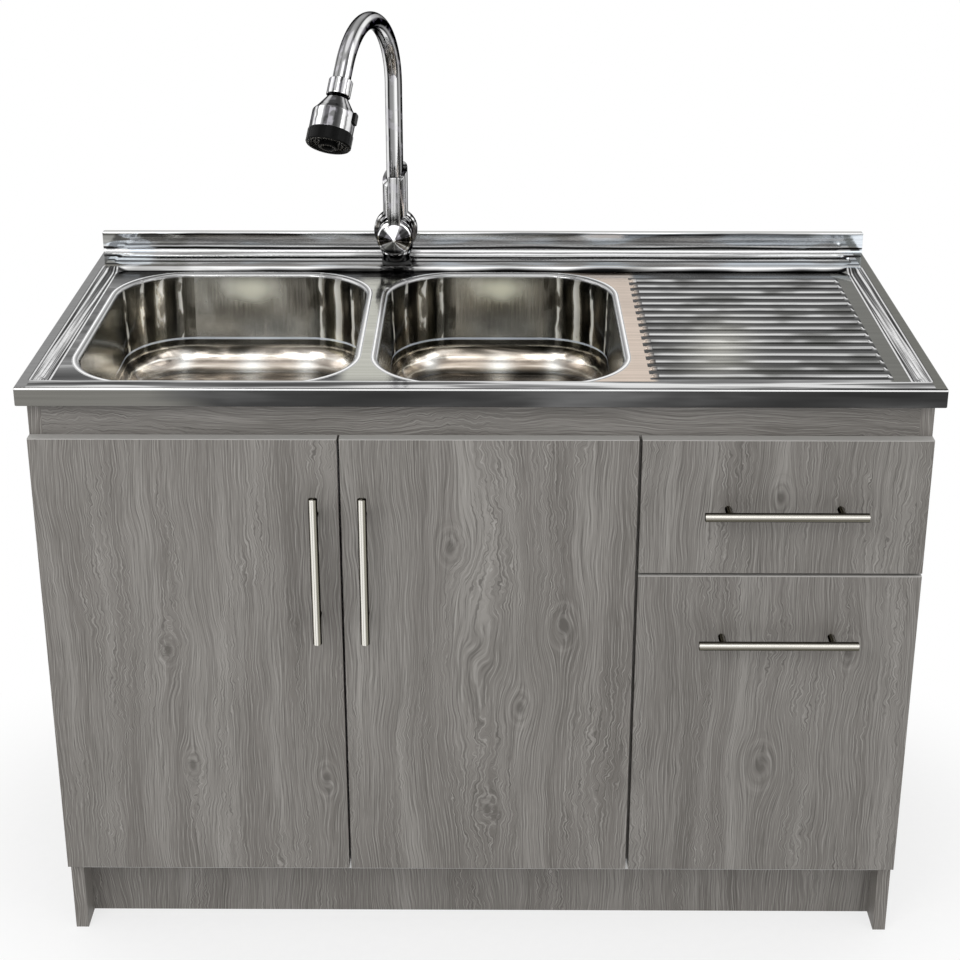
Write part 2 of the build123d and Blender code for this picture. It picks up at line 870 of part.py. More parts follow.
def door(name, left, right, hinge_side, handle_x):
    """A door with bored hinge cups near its hinged edge and a bar handle near the other."""
    cup_x = (left if hinge_side < 0 else right) - hinge_side * cup_edge_distance
    wing_x = cup_x - hinge_side * wing_offset
    cup_places = [(cup_x, height) for height in hinge_heights]
    with BuildPart() as board:
        with Locations(((left + right) / 2, (door_front + door_back) / 2, (door_bottom + door_top) / 2)):
            Box(right - left, door_thickness, door_top - door_bottom)
        fillet(board.faces().sort_by(Axis.Y)[0].edges(), front_edge_ease)
        with BuildSketch(Plane.XZ.offset(-door_back)):
            with Locations(*cup_places):
                Circle(cup_radius)
        extrude(amount=cup_depth, mode=Mode.SUBTRACT)
    keep(name, board)
    with BuildPart() as cups:
        with BuildSketch(Plane.XZ.offset(-door_back)):
            with Locations(*cup_places):
                Circle(cup_radius)
        extrude(amount=cup_depth)
        with BuildSketch(Plane.XZ.offset(-door_back)):
            with Locations(*[(wing_x, height) for height in hinge_heights]):
                RectangleRounded(wing_width, wing_height, wing_corner)
        extrude(amount=-wing_thickness)
        with BuildSketch(Plane.XZ.offset(-door_back - wing_thickness)):
            with Locations(*cup_places):
                Circle(cup_radius - cup_wall)
        extrude(amount=cup_depth + wing_thickness - cup_wall, mode=Mode.SUBTRACT)
    keep(f"{name}_hinge_cups", cups)
    keep(f"{name}_handle_bar", handle_bar(handle_x, door_handle_z, (0, 0, 1)))
    half = post_spacing / 2
    post_places = [(handle_x, door_handle_z - half), (handle_x, door_handle_z + half)]
    keep(f"{name}_handle_posts", handle_posts(post_places))


door("door_left", -outer_x, left_door_edge, -1, left_handle_x)
door("door_middle", middle_door_left, middle_door_right, 1, middle_handle_x)

# Plates on the panels and the arms that they carry, for both doors
hinge_walls = ((-inner_x, 1), (divider_left, -1))
plate_y = carcass_front + hinge_plate_setback
with BuildPart() as hinge_plates:
    for wall_x, inward in hinge_walls:
        with BuildSketch(Plane(origin=(wall_x, 0, 0), x_dir=(0, 1, 0), z_dir=(inward, 0, 0))):
            with Locations(*[(plate_y, inward * height) for height in hinge_heights]):
                RectangleRounded(hinge_plate_depth, hinge_plate_height, hinge_plate_corner)
        extrude(amount=hinge_plate_thickness)
keep("hinge_plates", hinge_plates)

with BuildPart() as hinge_arms:
    for wall_x, inward in hinge_walls:
        foot_x = wall_x + inward * hinge_plate_thickness
        arm_y = carcass_front + arm_front + arm_length / 2
        for height in hinge_heights:
            with Locations((foot_x + inward * arm_height / 2, arm_y, height)):
                Box(arm_height, arm_length, arm_width)
            hollow_y = arm_y - arm_wall
            with Locations((foot_x + inward * (arm_height - arm_wall) / 2, hollow_y, height)):
                Box(arm_height - arm_wall, arm_length, arm_width - 2 * arm_wall, mode=Mode.SUBTRACT)
            with Locations((foot_x + inward * arm_wall / 2, plate_y, height)):
                Box(arm_wall, hinge_plate_depth, arm_width)
keep("hinge_arms", hinge_arms)


# ------------------------------------------------------------------------------ drawers
def channel(low_x, high_x, open_side, low_z, height):
    """A pressed runner member: a web with two flanges that point to its open side."""
    shift = open_side * runner_wall
    with Locations(((low_x + high_x) / 2, carcass_front + runner_length / 2, low_z + height / 2)):
        Box(high_x - low_x, runner_length, height)
        with Locations((shift, 0, 0)):
            Box(high_x - low_x, runner_length, height - 2 * runner_wall, mode=Mode.SUBTRACT)


runner_step = runner_wall + runner_play


def runners(lows, wall_inset, box_inset, step, open_side):
    """One member of each pair of runners, inset from the panel and from the drawer side."""
    height = runner_height - 2 * step * runner_step
    with BuildPart() as pairs:
        for low in lows:
            low_z = low + step * runner_step
            channel(divider_right + wall_inset, drawer_box_left - box_inset, open_side, low_z, height)
            channel(drawer_box_right + box_inset, inner_x - wall_inset, -open_side, low_z, height)
    return pairs


keep("runner_outer", runners((upper_runner_z, lower_runner_z), 0, runner_step - runner_play / 2, 0, 1))


def drawer(name, front_low, front_high, box_low, box_height, runner_low, handle_z):
    """A drawer front with its box, handle and runner members."""
    with BuildPart() as front:
        with Locations((drawer_handle_x, (door_front + door_back) / 2, (front_low + front_high) / 2)):
            Box(outer_x - drawer_left, door_thickness, front_high - front_low)
        fillet(front.faces().sort_by(Axis.Y)[0].edges(), front_edge_ease)
    keep(f"{name}_front", front)

    box_top = box_low + box_height
    groove_low = box_low + drawer_groove_above
    groove_high = groove_low + drawer_bottom_thickness
    bottom_left = drawer_box_left + drawer_board - drawer_groove_depth
    bottom_right = drawer_box_right - drawer_board + drawer_groove_depth
    with BuildPart() as sides:
        for low_x, high_x in (
            (drawer_box_left, drawer_box_left + drawer_board),
            (drawer_box_right - drawer_board, drawer_box_right),
        ):
            with Locations(((low_x + high_x) / 2, box_middle_y, (box_low + box_top) / 2)):
                Box(drawer_board, drawer_box_back - door_back, box_height)
        with Locations(
            ((bottom_left + bottom_right) / 2, box_middle_y, (groove_low + groove_high) / 2)
        ):
            Box(
                bottom_right - bottom_left + 2 * groove_clearance,
                drawer_box_back - door_back,
                drawer_bottom_thickness + 2 * groove_clearance,
                mode=Mode.SUBTRACT,
            )
    keep(f"{name}_sides", sides)

    back = slab(
        (drawer_box_left + drawer_board, drawer_box_back - drawer_board, groove_high),
        (drawer_box_right - drawer_board, drawer_box_back, box_top),
    )
    keep(f"{name}_back", back)
    bottom = slab((bottom_left, door_back, groove_low), (bottom_right, drawer_box_back, groove_high))
    keep(f"{name}_bottom", bottom)

    keep(f"{name}_handle_bar", handle_bar(drawer_handle_x, handle_z, (1, 0, 0)))
    half = post_spacing / 2
    post_places = [(drawer_handle_x - half, handle_z), (drawer_handle_x + half, handle_z)]
    keep(f"{name}_handle_posts", handle_posts(post_places))
    keep(f"{name}_runner_middle", runners((runner_low,), runner_step, runner_wall, 1, 1))
    keep(f"{name}_runner_inner", runners((runner_low,), 2 * runner_step + runner_wall, 0, 2, -1))


drawer(
    "drawer_upper",
    upper_front_bottom,
    door_top,
    upper_box_low,
    upper_box_height,
    upper_runner_z,
    upper_handle_z,
)
drawer(
    "drawer_lower",
    door_bottom,
    lower_front_top,
    lower_box_low,
    lower_box_height,
    lower_runner_z,
    lower_handle_z,
)

# ------------------------------------------------------------------------------ tap body
tap_upright = upright(tap_x, tap_y)
tap_axis = vertical(tap_x, tap_y)
# Levels along the drum run back from the lever's pivot.
drum_plane = Plane(origin=(tap_x, lever_pivot_y, lever_axis_z), x_dir=(1, 0, 0), z_dir=(0, -1, 0))
lever_axis = Axis((tap_x, lever_pivot_y, lever_axis_z), (0, -1, 0))
# In this plane x runs forward from the lever's pivot and y is the radius.
lever_section = Plane(origin=(tap_x, lever_pivot_y, lever_axis_z), x_dir=(0, -1, 0), z_dir=(-1, 0, 0))

with BuildPart() as tap_gasket:
    with BuildSketch(Plane.XY.offset(ledge_height)):
        with Locations((tap_x, tap_y)):
            Circle(tap_gasket_radius)
            Circle(shank_radius + thread_clearance, mode=Mode.SUBTRACT)
    extrude(amount=tap_gasket_thickness)
keep("tap_gasket", tap_gasket)

spindle_hole = spindle_radius + spindle_room
with BuildPart() as tap_body:
    # Foot, waist and socket, turned about the upright
    with BuildSketch(tap_upright):
        with BuildLine():
            Polyline(
                (0, tap_seat),
                (tap_foot_radius, tap_seat),
                (tap_foot_radius, tap_seat + tap_foot_height),
                (tap_waist_radius, ledge_height + tap_waist_low),
                (tap_waist_radius, ledge_height + tap_waist_high),
                (socket_radius, ledge_height + tap_waist_high + socket_shoulder),
                (socket_radius, socket_top),
                (0, socket_top),
                close=True,
            )
        make_face()
    revolve(axis=tap_axis)
    # Drum with its ring, and the dome on its front
    with BuildSketch(drum_plane.offset(-drum_front - drum_back)):
        Circle(drum_radius)
    extrude(amount=drum_front + drum_back)
    with BuildSketch(drum_plane.offset(-drum_front - drum_ring_length / 2)):
        Circle(drum_ring_radius)
    extrude(amount=drum_ring_length)
    with Locations((tap_x, lever_pivot_y, lever_axis_z)):
        Sphere(dome_radius)
    ring_edges = tap_body.edges().filter_by(GeomType.CIRCLE).filter_by(
        lambda edge: abs(edge.radius - drum_ring_radius) < thread_clearance
    )
    fillet(ring_edges, drum_ring_ease)
    # The socket's mouth is cut on the slant, low towards the front.
    cut_point = (tap_x, tap_y, socket_top - socket_cut_drop)
    slant = math.radians(socket_cut_angle)
    heading = math.radians(socket_cut_heading)
    cut_normal = (
        -math.sin(slant) * math.sin(heading),
        -math.sin(slant) * math.cos(heading),
        math.cos(slant),
    )
    split(bisect_by=Plane(origin=cut_point, z_dir=cut_normal), keep=Keep.BOTTOM)
    # Bores for the spout, the cartridge and the lever's spindle
    with BuildSketch(Plane.XY.offset(spout_foot)):
        with Locations((tap_x, tap_y)):
            Circle(spout_bore_radius)
    extrude(amount=socket_bore_depth, mode=Mode.SUBTRACT)
    with BuildSketch(drum_plane.offset(-cartridge_setback)):
        Circle(cartridge_radius)
    extrude(amount=-cartridge_length, mode=Mode.SUBTRACT)
    with BuildSketch(drum_plane.offset(-cartridge_setback)):
        Circle(spindle_hole)
    extrude(amount=dome_radius + cartridge_setback, mode=Mode.SUBTRACT)
keep("tap_body", tap_body)

with BuildPart() as tap_cartridge:
    with BuildSketch(drum_plane.offset(-cartridge_setback)):
        Circle(cartridge_radius)
    extrude(amount=-cartridge_length)
keep("tap_cartridge", tap_cartridge)

# Threaded shank with two inlets in its foot
shank_bottom = tap_seat - shank_length
with BuildPart() as tap_shank:
    with BuildSketch(Plane.XY.offset(tap_seat)):
        with Locations((tap_x, tap_y)):
            Circle(shank_radius)
    extrude(amount=-shank_length)
    with BuildSketch(Plane.XY.offset(shank_bottom)):
        with Locations((tap_x, tap_y)):
            with GridLocations(inlet_spacing, 0, 2, 1):
                Circle(inlet_radius)
    extrude(amount=-inlet_length)
keep("tap_shank", tap_shank)

# Washer and hexagon of the clamp nut, in one piece
with BuildPart() as tap_nut:
    with BuildSketch(Plane.XY.offset(ledge_underside - tap_washer_thickness)):
        with Locations((tap_x, tap_y)):
            Circle(tap_washer_radius)
            Circle(shank_radius + thread_clearance, mode=Mode.SUBTRACT)
    extrude(amount=tap_washer_thickness)
    with BuildSketch(Plane.XY.offset(ledge_underside - tap_washer_thickness)):
        with Locations((tap_x, tap_y)):
            RegularPolygon(tap_nut_radius, 6)
            Circle(shank_radius + thread_clearance, mode=Mode.SUBTRACT)
    extrude(amount=-tap_nut_height)
keep("tap_nut", tap_nut)

# ------------------------------------------------------------------------------ lever
with BuildPart() as lever_spindle:
    with BuildSketch(drum_plane.offset(-cartridge_setback + running_clearance)):
        Circle(spindle_radius)
    extrude(amount=cartridge_setback - running_clearance + spindle_front)
    # Fork for the ball, open to the front, with a hole for its trunnions
    with Locations((tap_x, lever_pivot_y - spindle_front, lever_axis_z)):
        Box(
            2 * (lever_ball_radius + running_clearance),
            2 * (spindle_front + lever_ball_radius + running_clearance),
            2 * spindle_radius,
            mode=Mode.SUBTRACT,
        )
    with Locations((tap_x, lever_pivot_y, lever_axis_z)):
        Cylinder(
            lever_trunnion_radius + running_clearance,
            2 * spindle_radius,
            rotation=(0, 90, 0),
            mode=Mode.SUBTRACT,
        )
keep("lever_spindle", lever_spindle)

cover = math.radians(cap_cover_angle)
cavity_radius = dome_radius + dome_clearance
rim_forward = cavity_radius * math.cos(cover)
cap_apex = rim_forward + cap_rim_height + cap_cone_height
with BuildPart() as lever:
    with BuildSketch(lever_section):
        with BuildLine():
            Polyline(
                (rim_forward, 0),
                (rim_forward, cap_rim_radius),
                (rim_forward + cap_rim_height, cap_rim_radius),
                (cap_apex, 0),
                close=True,
            )
        make_face()
    revolve(axis=lever_axis)
    with BuildSketch(lever_section):
        with BuildLine():
            Polyline(
                (lever_root_forward, lever_root),
                (lever_tip_forward, lever_tip),
                (lever_tip_forward - lever_thickness, lever_tip),
                (lever_root_forward - lever_thickness, lever_root),
                close=True,
            )
        make_face()
    extrude(amount=lever_width / 2, both=True)
    clear_of_cap = lever_axis_z + cap_rim_radius + lever_ease
    tip_edges = lever.edges().filter_by(lambda edge: edge.center().Z > clear_of_cap)
    fillet(tip_edges, lever_ease)
    with Locations((tap_x, lever_pivot_y, lever_axis_z)):
        Sphere(cavity_radius, mode=Mode.SUBTRACT)
        Sphere(lever_ball_radius)
        Cylinder(lever_trunnion_radius, 2 * (spindle_radius - spindle_room), rotation=(0, 90, 0))
    with BuildSketch(drum_plane):
        Circle(lever_pin_radius)
    extrude(amount=cavity_radius + spindle_room)
keep("lever", lever)

# ------------------------------------------------------------------------------ spout
with BuildPart() as spout_tube:
    with BuildLine(spout_plane) as spout_route:
        riser = Line((0, spout_foot + running_clearance), (0, spout_arc_height))
        bend = JernArc(start=riser @ 1, tangent=riser % 1, radius=spout_arc_radius, arc_size=-spout_arc_sweep)
        Line(bend @ 1, spout_end)
    with BuildSketch(Plane.XY.offset(spout_foot + running_clearance)):
        with Locations((tap_x, tap_y)):
            Circle(spout_radius)
            Circle(spout_radius - spout_wall, mode=Mode.SUBTRACT)
    sweep(path=spout_route.line)
keep("spout_tube", spout_tube)

# The collar screws over the end of the spout and holds the neck of the ball.
with BuildPart() as spray_collar:
    with BuildSketch(head_plane):
        with BuildLine():
            Polyline(
                (-collar_overlap, spout_radius),
                (-collar_overlap, collar_radius - collar_ease),
                (-collar_overlap + collar_ease, collar_radius),
                (collar_length - collar_ease, collar_radius),
                (collar_length, collar_radius - collar_ease),
                (collar_length, neck_radius + running_clearance),
                (collar_length - collar_end_wall, neck_radius + running_clearance),
                (collar_length - collar_end_wall, neck_flange_radius + collar_room),
                (0, neck_flange_radius + collar_room),
                (0, spout_radius),
                close=True,
            )
        make_face()
    revolve(axis=head_axis)
keep("spray_collar", spray_collar)

flange_back = collar_length - collar_end_wall - running_clearance - neck_flange
with BuildPart() as spray_ball:
    with BuildSketch(head_plane):
        with BuildLine():
            Polyline(
                (flange_back, 0),
                (flange_back, neck_flange_radius),
                (flange_back + neck_flange, neck_flange_radius),
                (flange_back + neck_flange, neck_radius),
                (ball_centre, neck_radius),
                (ball_centre, 0),
                close=True,
            )
        make_face()
        with Locations((ball_centre, 0)):
            Circle(ball_radius)
        with Locations((ball_centre, -ball_radius)):
            Rectangle(4 * ball_radius + 2 * ball_centre, 2 * ball_radius, mode=Mode.SUBTRACT)
        with Locations((ball_centre, 0)):
            Rectangle(4 * ball_radius + 2 * ball_centre, 2 * water_bore, mode=Mode.SUBTRACT)
    revolve(axis=head_axis)
keep("spray_ball", spray_ball)

# ------------------------------------------------------------------------------ spray head
socket_inner = ball_radius + ball_clearance
opening = math.radians(ball_opening_angle)
shell_top = ball_centre - socket_inner * math.cos(opening)
hollow_start = ball_centre + socket_inner + shell_wall
button_plane = Plane(
    origin=head_plane.from_local_coords((button_at, 0, 0)),
    x_dir=head_direction,
    z_dir=-spout_plane.z_dir,
)
guide_depth = button_depth + button_travel + button_guide
with BuildPart() as spray_shell:
    with BuildSketch(head_plane) as shell_section:
        with BuildLine():
            Polyline(
                (shell_top, 0),
                (shell_top, shell_top_radius),
                (shell_shoulder, shell_radius - shell_slope),
                (shell_shoulder + shell_slope, shell_radius),
                (shell_end, shell_radius),
                (shell_end, 0),
                close=True,
            )
        make_face()
        shoulder_corners = shell_section.vertices().group_by(head_axis)[1:-1]
        fillet(shoulder_corners[0] + shoulder_corners[1], shell_round)
    revolve(axis=head_axis)
    with BuildSketch(head_plane):
        with BuildLine():
            Polyline(
                (hollow_start, 0),
                (hollow_start, hollow_start_radius),
                (shell_shoulder + shell_slope + shell_wall, shell_radius - shell_wall),
                (shell_end, shell_radius - shell_wall),
                (shell_end, 0),
                close=True,
            )
        make_face()
    revolve(axis=head_axis, mode=Mode.SUBTRACT)
    # Guide for the button, on the right of the bell
    with BuildSketch(button_plane.offset(shell_radius - shell_wall / 2)):
        RectangleRounded(button_length + 2 * button_guide, button_width + 2 * button_guide, button_guide)
    extrude(amount=-guide_depth + shell_wall / 2)
    with BuildSketch(button_plane.offset(shell_radius + button_proud)):
        RectangleRounded(button_length + 2 * button_play, button_width + 2 * button_play, button_corner)
    extrude(amount=-guide_depth + button_guide - button_proud, mode=Mode.SUBTRACT)
    with Locations(head_plane.from_local_coords((ball_centre, 0, 0))):
        Sphere(socket_inner, mode=Mode.SUBTRACT)
    with BuildSketch(Plane(origin=head_plane.from_local_coords((ball_centre, 0, 0)), z_dir=head_direction)):
        Circle(water_bore)
    extrude(amount=hollow_start, mode=Mode.SUBTRACT)
keep("spray_shell", spray_shell)

with BuildPart() as spray_ring:
    with BuildSketch(head_plane):
        with BuildLine():
            Polyline(
                (shell_end, shell_radius - shell_wall),
                (shell_end, spray_ring_radius),
                (spray_ring_end - ring_ease, spray_ring_radius),
                (spray_ring_end, spray_ring_radius - ring_ease),
                (spray_ring_end, nozzle_radius),
                (spray_ring_end - spray_face, nozzle_radius),
                (spray_ring_end - spray_face, shell_radius - shell_wall),
                close=True,
            )
        make_face()
    revolve(axis=head_axis)
keep("spray_ring", spray_ring)

nozzle_back = spray_ring_end - spray_face - nozzle_flange
with BuildPart() as spray_nozzle:
    with BuildSketch(head_plane):
        with BuildLine():
            Polyline(
                (nozzle_back, nozzle_bore),
                (nozzle_back, nozzle_radius + nozzle_flange),
                (spray_ring_end - spray_face, nozzle_radius + nozzle_flange),
                (spray_ring_end - spray_face, nozzle_radius),
                (spray_ring_end + nozzle_proud, nozzle_radius),
                (spray_ring_end + nozzle_proud, nozzle_bore),
                close=True,
            )
        make_face()
    revolve(axis=head_axis)
keep("spray_nozzle", spray_nozzle)

with BuildPart() as spray_button:
    with BuildSketch(button_plane.offset(shell_radius + button_proud)):
        RectangleRounded(button_length, button_width, button_corner - button_play)
    extrude(amount=-button_depth - button_proud)
    outwards = Axis(button_plane.origin, button_plane.z_dir)
    fillet(spray_button.faces().sort_by(outwards)[-1].edges(), button_ease)
keep("spray_button", spray_button)
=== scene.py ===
import math

import bpy
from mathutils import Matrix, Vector
from mathutils.geometry import delaunay_2d_cdt


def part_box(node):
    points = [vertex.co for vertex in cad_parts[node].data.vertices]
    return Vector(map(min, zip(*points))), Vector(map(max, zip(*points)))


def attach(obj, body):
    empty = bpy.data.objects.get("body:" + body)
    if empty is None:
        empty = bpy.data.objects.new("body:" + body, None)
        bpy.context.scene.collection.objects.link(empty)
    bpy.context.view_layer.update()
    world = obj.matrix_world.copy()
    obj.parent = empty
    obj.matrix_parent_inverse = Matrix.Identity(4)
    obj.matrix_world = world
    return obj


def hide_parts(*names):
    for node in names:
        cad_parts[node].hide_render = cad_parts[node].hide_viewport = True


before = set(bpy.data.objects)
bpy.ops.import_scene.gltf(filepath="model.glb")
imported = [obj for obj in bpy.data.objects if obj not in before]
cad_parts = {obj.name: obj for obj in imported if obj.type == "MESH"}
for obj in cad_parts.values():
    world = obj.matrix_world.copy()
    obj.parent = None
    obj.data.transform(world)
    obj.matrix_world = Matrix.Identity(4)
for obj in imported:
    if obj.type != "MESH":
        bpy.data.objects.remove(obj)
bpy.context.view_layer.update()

# Looks of the kitchen sink unit. Shapes are worked out in the part's own frame in millimetres and written
# to Blender in metres.
MM = 0.001


# ------------------------------------------------------------------------------ places from the frame
def span(node):
    """Lowest and highest corner of a CAD node, in millimetres."""
    low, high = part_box(node)
    return low / MM, high / MM


top_low, top_high = span("sink_top")
gasket_low, gasket_high = span("tap_gasket")

SHEET = 1.0
FRONT = top_low.y
BACK = top_high.y
HALF_WIDTH = top_high.x
UPSTAND_TOP = top_high.z
LIP = UPSTAND_TOP - 32.0
DECK = LIP - 7.0
LEDGE = LIP - 2.0
FASCIA_LOW = top_low.z
UPSTAND_FACE = BACK - 12.0
EDGE_ROLL = 3.0
END_ROLL = 2.5
HEM_ROLL = 1.5
HEM = 8.0

# Half width at the lip, how far each slope runs in, and the corner radii at the lip and at the floor.
DECK_POCKET = {"wide": 584, "width_change": 22, "front_change": 7, "back_change": 4, "corners": (30, 19)}
LEDGE_POCKET = {"wide": 575, "width_change": 3, "front_change": 3, "back_change": 3, "corners": (26, 23)}

BOWL_CORNER = 98.0
BOWL_DRAFT = math.radians(1.9)
BOWL_COVE = 42.0
BOWL_FLOOR = DECK - 150.0
RIM_TOP = DECK + 0.8
RIM_WIDTH = 9.0
WELD_OUT = 10.5
RIM_ROLL = 7.0
BOWL_Y = FRONT + 41.0 + 453.0 / 2
BOWL_LENGTH = 453.0
# (middle x, width) of each opening, as in the photo. The drains keep the CAD's places over the pipes.
BOWLS = {"bowl_left": (-357.0, 369.0), "bowl_right": (27.0, 331.0)}
DRAINS = {"bowl_left": -352.0, "bowl_right": 34.0}
DRAIN = 45.0
BOWL_STEPS = 18
# How much each bowl's painted reflections are deepened.
DEPTHS = {"bowl_left": 1.15, "bowl_right": 1.45}

RIB_RADIUS = 7.5
RIB_CENTRE = DECK + 3.0 - RIB_RADIUS
RIB_X = (230.0, 533.0)
RIB_PITCH = 26.6
RIB_YS = [FRONT + 64.0 + RIB_PITCH * index for index in range(16)]
RIB_FOOT = 1.2

TAP_X = (gasket_low.x + gasket_high.x) / 2
TAP_Y = (gasket_low.y + gasket_high.y) / 2
LEVER_Z = LEDGE + 51.0
PIVOT = Vector((TAP_X, TAP_Y - 34.0, LEVER_Z))
TAP_SEAT = LEDGE + 3.0
TAP_HOLE = 17.5
MOUTH_Z = LEDGE + 140.0
MOUTH_LEAN = math.tan(math.radians(40))
MOUTH_HEADING = math.radians(35)
SPOUT_TURN = math.radians(16.4)
SPOUT_RADIUS = 13.0
SPOUT_FOOT = LEDGE + 84.0
ARC_RADIUS = 113.0
ARC_Z = 1133.0
ARC_SWEEP = math.radians(144)
SPOUT_STRAIGHT = 26.0

BUTTON_FACING = Vector((0.959314, -0.282341, 0.0))

FRONT_FACE = span("door_left")[0].y
BAR_RADIUS = 6.0
BAR_LENGTH = 214.0
POST_RADIUS = 4.5
POST_SPACING = 148.0

FLOOR = 6.0

DULL_EDGE = (0.6, 0.6, 0.6, 1)
DARK_EDGE = (0.04, 0.04, 0.04, 1)

UP = Vector((0, 0, 1))
FORWARD = Vector((0, -1, 0))


# ------------------------------------------------------------------------------ mesh tools
def rounded(corners, step=math.radians(11)):
    """(x, y, normal x, normal y) along a line through corners (x, y, radius). Normals point to its left."""
    places = [Vector(corner[:2]) for corner in corners]
    line = []

    def put(place, normal):
        line.append((place.x, place.y, normal.x, normal.y))

    def left_of(heading):
        return Vector((-heading.y, heading.x))

    headings = [(b - a).normalized() for a, b in zip(places, places[1:])]
    put(places[0], left_of(headings[0]))
    for place, before, after, corner in zip(places[1:], headings, headings[1:], corners[1:]):
        turn = math.atan2(before.cross(after), before.dot(after))
        radius = corner[2]
        if radius == 0:
            put(place, left_of(before))
            put(place, left_of(after))
            continue
        side = math.copysign(1, turn)
        start = place - before * radius * math.tan(abs(turn) / 2)
        centre = start + left_of(before) * radius * side
        steps = max(2, round(abs(turn) / step))
        for index in range(steps + 1):
            angle = math.atan2(left_of(before).y, left_of(before).x) + turn * index / steps
            normal = Vector((math.cos(angle), math.sin(angle)))
            put(centre - normal * radius * side, normal)
    put(places[-1], left_of(headings[-1]))
    return line


def outline(middle_x, middle_y, width, length, radius, steps=10):
    """(x, y, normal x, normal y) round a rounded rectangle, anticlockwise."""
    points = []
    for side_x, side_y, start in ((1, -1, -90), (1, 1, 0), (-1, 1, 90), (-1, -1, 180)):
        corner_x = middle_x + side_x * (width / 2 - radius)
        corner_y = middle_y + side_y * (length / 2 - radius)
        for index in range(steps + 1):
            angle = math.radians(start + 90 * index / steps)
            normal = (math.cos(angle), math.sin(angle))
            points.append((corner_x + radius * normal[0], corner_y + radius * normal[1], *normal))
    return points


def circle(middle_x, middle_y, radius, around):
    """(x, y) round a circle."""
    angles = [index * math.pi / (around // 2) for index in range(around)]
    return [(middle_x + radius * math.cos(a), middle_y + radius * math.sin(a)) for a in angles]


